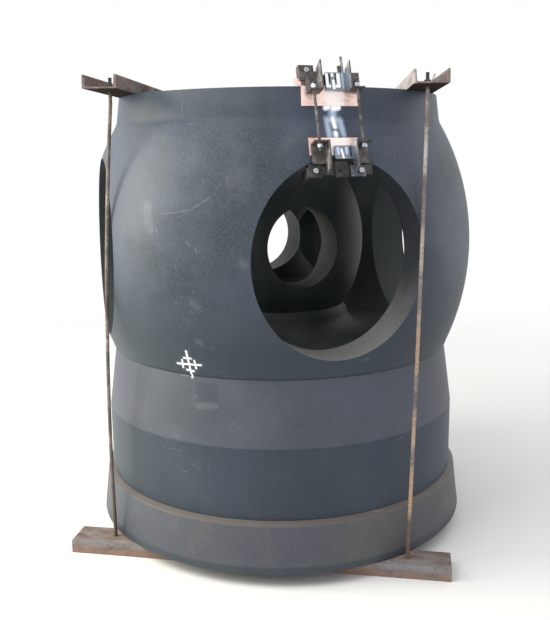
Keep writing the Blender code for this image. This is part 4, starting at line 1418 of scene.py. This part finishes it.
class RUNNERHUB_OT_copper(bpy.types.Operator):
    """Lay the two copper pads and the bright strip under them"""

    bl_idname = "runner_hub.copper"
    bl_label = "Copper pads and strip"

    def execute(self, context):
        clamp = settings().clamp
        copper = copper_finish()
        top = draped(
            "copper_pad_top_fine", TOP_PAD_SIDES, self.top_path(), clamp.pad_thickness, copper,
            ripple=TOP_RIPPLE,
        )
        join_into(top, self.bent_corner(copper))
        seat(top, "copper_sheet", "copper_pad_top")
        low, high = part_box("copper_pad_bottom")
        bottom = draped(
            "copper_pad_bottom_fine", BOTTOM_PAD_SIDES, up_wall(low.z, high.z, clamp.pad_lift, 18),
            clamp.pad_thickness, copper, ripple=BOTTOM_RIPPLE,
        )
        seat(bottom, "copper_sheet", "copper_pad_bottom")
        low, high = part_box("tension_strap")
        strip = draped(
            "tension_strap_fine", STRIP_SIDES, up_wall(low.z, high.z, STRIP_LIFT, 30),
            STRIP_THICKNESS, strip_finish(), columns=24,
        )
        seat(strip, "worn_steel", "tension_strap")
        return {"FINISHED"}

    def top_path(self):
        """Up the wall, over the rim's edge in a small fold, and a short way in over the rim."""
        hub, lift = settings().hub, settings().clamp.pad_lift
        apron = up_wall(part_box("copper_pad_top")[0].z, RIM_TOP - FOLD_RADIUS, lift, 22)
        start = hub.rim_radius + lift - FOLD_RADIUS
        fold = [
            (start + FOLD_RADIUS * math.cos(a), RIM_TOP + FLAP_HEIGHT - FOLD_RADIUS * (1 - math.sin(a)))
            for a in steps(FOLD_START, math.pi / 2, 5)
        ]
        flap = [(hub.rim_radius - reach, RIM_TOP + FLAP_HEIGHT) for reach in steps(*FLAP_REACH, 7)]
        return apron + fold + flap

    def bent_corner(self, copper):
        """The pad's left corner, bent up over the rim beside the end plate."""
        outline = rounded([
            (-0.160, 0.004, 0.002), (-0.112, 0.001, 0), (-0.112, 0.022, 0), (-0.150, 0.034, 0.003),
            (-0.161, 0.030, 0.003),
        ])
        sheet = prism(outline, -0.004, settings().clamp.pad_thickness - 0.004)
        return in_clamp(scene_mesh("bent_corner", moved(sheet, UPRIGHT), [copper]))


# Painted glare and painted sheen on the strip, each as (start, end, half width), with places as (across, up
# from the rim).
GLARES = (
    ((-0.034, -0.088), (-0.024, -0.086), 0.008),
    ((0.002, -0.090), (0.019, -0.088), 0.009),
    ((-0.0055, -0.136), (-0.002, -0.170), 0.0045),
    ((-0.004, -0.196), (-0.004, -0.206), 0.004),
)
SHEENS = (
    ((-0.002, -0.095), (-0.004, -0.125), 0.005),
    ((-0.040, -0.146), (-0.036, -0.202), 0.007),
    ((0.024, -0.148), (0.034, -0.198), 0.006),
    ((-0.040, -0.146), (-0.024, -0.142), 0.004),
    ((0.010, -0.142), (0.026, -0.148), 0.004),
)


def strip_finish():
    """Mirror-bright strip: painted glare and painted sheen on dark blue metal that fades at its sides."""
    colours = settings().colours
    finish = Finish("bright_strip", roughness=0.3, metallic=1.0)
    spot = finish.position()
    x, _, z = finish.axes(spot)
    wave = finish.noise(spot, 34.0, 3.0, 0.6)
    across = x + (wave - 0.5) * 0.006
    up = (z - RIM_TOP) / math.cos(settings().clamp.tilt)
    painted_glare = finish.smooth(from_strokes(finish, across, up, GLARES), 0.012, -0.002)
    sheen = finish.smooth(from_strokes(finish, across, up, SHEENS), 0.026, -0.004)
    sheen = finish.most(sheen * 0.85, painted_glare)
    tone = finish.coated(colours.blued, (sheen, colours.sheen), (painted_glare, (1.0, 1.0, 1.0)))
    fade = finish.smooth(abs(x + 0.0015), 0.0485, 0.030) * (0.45 + sheen * 0.55)
    return finish.dress(tone, 0.35 - painted_glare * 0.15, finish.bump(wave * 3.0, 0.0003, 0.4), alpha=fade)


def bar_outline(centre, half_width, low, high, lean=0.0, arc_steps=9):
    """Outline of an upright bar with round ends, whose top leans off its foot to the left."""
    bottom = [
        (centre + half_width * math.cos(a), low + half_width * (1 + math.sin(a)))
        for a in steps(math.pi, 2 * math.pi, arc_steps)
    ]
    top = [
        (centre - lean + half_width * math.cos(a), high - half_width * (1 - math.sin(a)))
        for a in steps(0, math.pi, arc_steps)
    ]
    return bottom + top


PAINTED_GLARE_BAR, PAINTED_SHEEN_BAR, GROOVE_SHADE_BAR = 1, 2, 3
# Each jaw's left, right, lower and upper edge.
JAW_OUTLINES = {
    "clamp_jaw_top": (-0.033, 0.0565, -0.022, 0.052),
    "clamp_jaw_bottom": (-0.027, 0.0495, -0.309, -0.254),
}
# The bars on each jaw as ((middle, half width, foot, top, lean where it has one), finish); the finishes are
# painted glare, painted sheen and painted shade of grooves.
JAW_BARS = {
    "clamp_jaw_top": (
        ((-0.026, 0.0060, -0.0135, 0.049), PAINTED_GLARE_BAR), ((-0.017, 0.0055, -0.0135, -0.0015), PAINTED_GLARE_BAR),
        ((0.022, 0.0078, -0.0140, 0.049), PAINTED_GLARE_BAR), ((0.012, 0.0055, -0.0140, -0.0020), PAINTED_GLARE_BAR),
        ((-0.003, 0.0050, 0.0310, 0.049), PAINTED_GLARE_BAR), ((0.000, 0.0060, -0.0215, 0.021), PAINTED_GLARE_BAR),
        ((0.040, 0.0035, -0.0180, 0.050), PAINTED_SHEEN_BAR), ((0.0115, 0.0022, 0.0060, 0.049), GROOVE_SHADE_BAR),
        ((-0.0155, 0.0030, 0.0060, 0.046), GROOVE_SHADE_BAR),
    ),
    "clamp_jaw_bottom": (
        ((-0.013, 0.0065, -0.2930, -0.259), PAINTED_SHEEN_BAR), ((0.023, 0.0065, -0.2930, -0.259), PAINTED_SHEEN_BAR),
        ((0.0075, 0.0048, -0.3080, -0.266, 0.006), PAINTED_GLARE_BAR), ((0.040, 0.0030, -0.3000, -0.258), GROOVE_SHADE_BAR),
    ),
}
JAW_ROUNDING = 0.004
JAW_BEVEL = 0.0012
BAR_DEPTH = 0.002
BAR_RELIEF = 0.0010
BAR_STEP = 0.00006


def jaw(node, finishes):
    """A jaw: a steel block with bars on its face, painted with glare, sheen and the shade of grooves. Each
    bar is an outline and a finish.
    """
    clamp = settings().clamp
    face = clamp.back + clamp.jaw_thickness
    bm = prism(plate_outline(*JAW_OUTLINES[node], JAW_ROUNDING), clamp.back, face)
    edges = [edge for edge in bm.edges if edge.calc_face_angle() > math.radians(60)]
    bmesh.ops.bevel(bm, geom=edges, offset=JAW_BEVEL, segments=2, profile=0.6, affect="EDGES")
    block = scene_mesh(f"{node}_fine", moved(bm, UPRIGHT), finishes)
    for number, (numbers, finish) in enumerate(JAW_BARS[node]):
        bar = prism(bar_outline(*numbers), face - BAR_DEPTH, face + BAR_RELIEF + number * BAR_STEP)
        join_into(block, scene_mesh("jaw_bar", moved(bar, UPRIGHT), [finishes[finish]]))
    return in_clamp(smoothed(block))


def join_into(host, other):
    """Adds the other object's mesh to the host's, keeping its materials."""
    known = [material.name for material in host.data.materials]
    for material in other.data.materials:
        if material.name not in known:
            host.data.materials.append(material)
            known.append(material.name)
    slots = [known.index(material.name) for material in other.data.materials]
    bm = bmesh.new()
    bm.from_mesh(host.data)
    start = len(bm.faces)
    other.data.transform(host.matrix_world.inverted() @ other.matrix_world)
    bm.from_mesh(other.data)
    bm.faces.ensure_lookup_table()
    for face in bm.faces[start:]:
        face.material_index = slots[face.material_index]
    bpy.data.objects.remove(other)
    bm.to_mesh(host.data)
    bm.free()


BOLT_WASHER = 0.0015
BOLT_HEAD = 0.0075
WASHER_SHARE = 1.12
WASHER_SIDES = 40
SOCKET_SHARE = 0.16
BOLT_TWIST = 40


def hex_bolt(name, spot, out, materials):
    """A hexagon bolt head on a round washer, facing out of the clamp's plane at a place (x, up)."""
    radius = settings().clamp.bolt_radius
    washer = prism(circle(radius * WASHER_SHARE, WASHER_SIDES), 0, BOLT_WASHER)
    head = hex_nut(radius, BOLT_HEAD, radius * SOCKET_SHARE)
    moved(head, Matrix.Translation((0, 0, BOLT_WASHER)))
    facing = Matrix.Translation((spot[0], -out, spot[1])) @ Matrix.Rotation(math.pi / 2, 4, "X")
    twist = Matrix.Rotation(spot[0] * BOLT_TWIST, 4, "Z")
    made = scene_mesh(name, moved(washer, facing @ twist), materials)
    join_into(made, scene_mesh("head", moved(head, facing @ twist), materials[1:]))
    return in_clamp(smoothed(made))


# Each bead's place across the clamp, its foot and its top.
WELDS = {
    "weld_top_left": (-0.066, -0.028, 0.056),
    "weld_top_right": (0.063, -0.020, 0.052),
    "weld_bottom_left": (-0.064, -0.322, -0.256),
    "weld_bottom_right": (0.056, -0.322, -0.256),
}
WELD_OUT = 0.006
WELD_RADIUS = 0.0024
WELD_RIPPLE = 0.16
WELD_END = 0.35
WELD_ROWS = 26


def weld_bead(name, material):
    """A rippled weld bead up the clamp's face, at its place across between two heights."""
    x, low, high = WELDS[name]
    out = -settings().clamp.back - WELD_OUT
    start, end = Vector((x, out, low)), Vector((x, out, high))
    along = (end - start).normalized()
    across = along.orthogonal().normalized()
    third = along.cross(across)
    bm = bmesh.new()
    rings = []
    for k, spot in enumerate(steps(0, 1, WELD_ROWS)):
        swell = WELD_RADIUS * (1 + WELD_RIPPLE * math.sin(k * 1.9))
        swell *= WELD_END if k in (0, WELD_ROWS - 1) else 1
        centre = start.lerp(end, spot)
        rings.append([bm.verts.new(centre + swell * (c * across + s * third)) for c, s in circle(1.0, 10)])
    return in_clamp(scene_mesh(name, skinned(bm, rings), [material]))


PALE_STEEL, LEG_STEEL = 1, 2
LEG_NEARNESS = 0.7
# Where each bracket's standing leg is across the clamp, and the leg's finish.
BRACKET_LEGS = {
    "clamp_bracket_top_left": (-0.063, LEG_STEEL),
    "clamp_bracket_top_right": (0.060, PALE_STEEL),
    "clamp_bracket_bottom_left": (-0.061, LEG_STEEL),
    "clamp_bracket_bottom_right": (0.053, PALE_STEEL),
}


class RUNNERHUB_OT_clamp(bpy.types.Operator):
    """Fit the clamp's brackets, bars, plates, jaws and tongue"""

    bl_idname = "runner_hub.clamp"
    bl_label = "Clamp"

    def execute(self, context):
        clamp, colours = settings().clamp, settings().colours
        brown, dark, leg_steel, grey, black = (
            dark_steel_finish(name) for name in (
                "bracket_steel", "plate_dark_steel", "leg_steel", "grey_plate_steel", "black_plate_steel",
            )
        )
        pale = ground_steel_finish()
        plates = {
            **{node: brown for node in BRACKET_LEGS},
            "clamp_bar_top": dark, "clamp_bar_bottom": black, "end_plate_top_left": dark,
            "end_plate_bottom_left": black, "end_plate_bottom_centre": black,
            "end_plate_bottom_right": grey,
        }
        for node, material in plates.items():
            seat(softened(node, [material, pale, leg_steel]), "dark_steel", node)
        for node, (leg, finish) in BRACKET_LEGS.items():
            for face in bpy.data.objects[f"{node}_fine"].data.polygons:
                at_leg = abs(face.center.x - leg) < clamp.plate * LEG_NEARNESS
                if at_leg and -face.center.y > clamp.plate:
                    face.material_index = finish
        seat(softened("locating_tongue", [pale]), "worn_steel", "locating_tongue")
        # The jaws' bar finishes are painted glare, painted sheen and painted shade of grooves.
        jaw_finishes = [
            bright_steel_finish("jaw_steel", 0.34, 0.30, colours.jaw),
            bright_steel_finish("polished_steel", 0.20, 0.05, colours.painted_glare),
            bright_steel_finish("sheen_steel", 0.28, 0.20, colours.sheen),
            bright_steel_finish("slot_steel", 0.40, 0.50, colours.slot),
        ]
        for node in JAW_OUTLINES:
            seat(jaw(node, jaw_finishes), "worn_steel", node)
        seat(self.stop_block(dark), "dark_steel")
        for name in WELDS:
            seat(weld_bead(name, dark), "dark_steel")
        return {"FINISHED"}

    def stop_block(self, material):
        """The small dark block that stands up behind the top jaw."""
        back = settings().clamp.back
        block = prism(plate_outline(0.026, 0.041, 0.040, 0.082, 0.001, 0.002), back + 0.001, back + 0.010)
        return in_clamp(scene_mesh("jaw_stop", moved(block, UPRIGHT), [material]))


CLAMP_PITCH = 0.00175
NUT_TWIST = 30


class RUNNERHUB_OT_fasteners(bpy.types.Operator):
    """Screw in the clamp's threaded rods, nuts and bolts"""

    bl_idname = "runner_hub.fasteners"
    bl_label = "Clamp fasteners"

    def execute(self, context):
        clamp, colours = settings().clamp, settings().colours
        zinc = bright_steel_finish("zinc_plate", 0.28, 0.60, colours.steel)
        oily = bright_steel_finish("oily_zinc_plate", 0.40, 0.60, colours.steel_dark)
        rod_steel, black = dark_steel_finish("clamp_rod_steel"), dark_steel_finish("washer_steel")
        for hand, x in (("left", clamp.rod_left), ("right", clamp.rod_right)):
            node = f"clamp_rod_{hand}"
            ends = [Vector((x, -clamp.rod_out, z)) for z in reversed(self.heights(node))]
            bar = threaded(ends, clamp.rod_radius, CLAMP_PITCH, ((-1.0, 1.0),), sides=16)
            seat(in_clamp(scene_mesh(f"{node}_fine", bar, [rod_steel])), "worn_steel", node)
            for place_name in ("top", "bottom"):
                node = f"clamp_nut_{place_name}_{hand}"
                low, high = self.heights(node)
                nut = hex_nut(clamp.nut_radius, high - low, clamp.rod_radius + SEAT_GAP)
                stand = Matrix.Translation((x, -clamp.rod_out, low))
                moved(nut, stand @ Matrix.Rotation(x * NUT_TWIST, 4, "Z"))
                seat(in_clamp(scene_mesh(f"{node}_fine", nut, [zinc])), "worn_steel", node)
        for name, spot, plating in (
            ("bolt_top_left", (-0.106, 0.064), zinc), ("bolt_bottom_left", (-0.111, -0.354), zinc),
            ("bolt_bottom_centre", (-0.001, -0.350), oily), ("bolt_bottom_right", (0.080, -0.354), zinc),
        ):
            seat(hex_bolt(name, spot, clamp.back, [black, plating]), "worn_steel")
        return {"FINISHED"}

    def heights(self, node):
        """Lowest and highest place of a solid along the clamp's rods."""
        inverse = clamp_matrix().inverted()
        heights = [(inverse @ vert.co).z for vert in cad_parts[node].data.vertices]
        return min(heights), max(heights)


LIGHT_AIM = Vector((0, 0, 1.1))
# Each light's place and size.
LIGHTS = (
    ("left", (-4.7, 0.55, 2.55), (2.2, 3.4)),
    ("right", (4.8, 0.29, 2.4), (2.2, 3.4)),
    ("top", (-3.2, -1.8, 4.6), (2.6, 2.6)),
)


class RUNNERHUB_OT_stage(bpy.types.Operator):
    """Set the pale floor, the soft lights and the camera"""

    bl_idname = "runner_hub.stage"
    bl_label = "Studio"

    def execute(self, context):
        self.lay_floor()
        self.hang_lights()
        self.stand_camera()
        return {"FINISHED"}

    def lay_floor(self):
        studio = settings().studio
        finish = Finish("pale_floor", roughness=0.85)
        spot = finish.position()
        x, y, _ = finish.axes(spot)
        away = finish.maths("SQRT", x * x + y * y)
        material = finish.dress(
            finish.mix(finish.noise(spot, 0.8, 3.0), studio.floor, studio.floor_pale),
            normal=finish.bump(finish.noise(spot, 40.0), 0.0004, 0.2),
            alpha=finish.smooth(away, studio.fade_to, studio.fade_from),
        )
        bm = bmesh.new()
        bmesh.ops.create_circle(bm, cap_ends=True, segments=96, radius=studio.floor_radius)
        scene_mesh("studio_floor", bm, [material], smooth=False)

    def hang_lights(self):
        studio = settings().studio
        world = bpy.context.scene.world or bpy.data.worlds.new("studio")
        bpy.context.scene.world = world
        world.use_nodes = True
        sky = world.node_tree.nodes["Background"]
        sky.inputs["Color"].default_value = (1.0, 1.0, 1.0, 1.0)
        sky.inputs["Strength"].default_value = studio.sky
        for name, spot, size in LIGHTS:
            data = bpy.data.lights.new(f"{name}_light", "AREA")
            data.shape, data.size, data.size_y = "RECTANGLE", *size
            data.energy = getattr(studio, f"{name}_power")
            if name == "left":
                data.color = studio.left_colour
            light = bpy.data.objects.new(f"{name}_light", data)
            light.location = spot
            light.rotation_euler = (LIGHT_AIM - Vector(spot)).to_track_quat("-Z", "Y").to_euler()
            bpy.context.scene.collection.objects.link(light)
        bpy.context.scene.view_settings.view_transform = "Standard"

    def stand_camera(self):
        studio = settings().studio
        data = bpy.data.cameras.new("photo_view")
        data.sensor_width = 36.0
        data.lens, data.shift_y = studio.lens, studio.shift
        camera = bpy.data.objects.new("photo_view", data)
        turn = Matrix.Rotation(-studio.camera_heading, 4, "Z")
        look = Matrix.Rotation(math.pi / 2 - studio.camera_pitch, 4, "X")
        roll = Matrix.Rotation(studio.camera_roll, 4, "Z")
        camera.matrix_world = Matrix.Translation(studio.camera_place) @ turn @ look @ roll
        bpy.context.scene.collection.objects.link(camera)
        bpy.context.scene.camera = camera


class RUNNERHUB_PT_panel(bpy.types.Panel):
    """Lists the hub's settings and the steps that build it"""

    bl_idname = "RUNNERHUB_PT_panel"
    bl_label = "Runner Hub"
    bl_space_type = "VIEW_3D"
    bl_region_type = "UI"
    bl_category = "Runner Hub"

    def draw(self, context):
        for name in STEPS:
            self.layout.operator(f"runner_hub.{name}")
        for group in ("hub", "lashing", "clamp", "colours", "studio"):
            box = self.layout.box()
            values = getattr(settings(), group)
            for key in values.bl_rna.properties.keys():
                if key not in ("rna_type", "name"):
                    box.prop(values, key)


STEPS = ("casting", "barrel", "channels", "tie_rods", "copper", "clamp", "fasteners", "stage")
CLASSES = (
    RunnerHubShape, LashingShape, ClampShape, FinishColours, StudioSettings, RunnerHubSettings,
    RUNNERHUB_OT_casting, RUNNERHUB_OT_barrel, RUNNERHUB_OT_channels, RUNNERHUB_OT_tie_rods,
    RUNNERHUB_OT_copper, RUNNERHUB_OT_clamp, RUNNERHUB_OT_fasteners, RUNNERHUB_OT_stage, RUNNERHUB_PT_panel,
)


def register():
    for made in CLASSES:
        bpy.utils.register_class(made)
    bpy.types.Scene.runner_hub = PointerProperty(type=RunnerHubSettings)


def unregister():
    del bpy.types.Scene.runner_hub
    for made in reversed(CLASSES):
        bpy.utils.unregister_class(made)


def main():
    register()
    for name in STEPS:
        getattr(bpy.ops.runner_hub, name)()


if __name__ == "__main__":
    main()
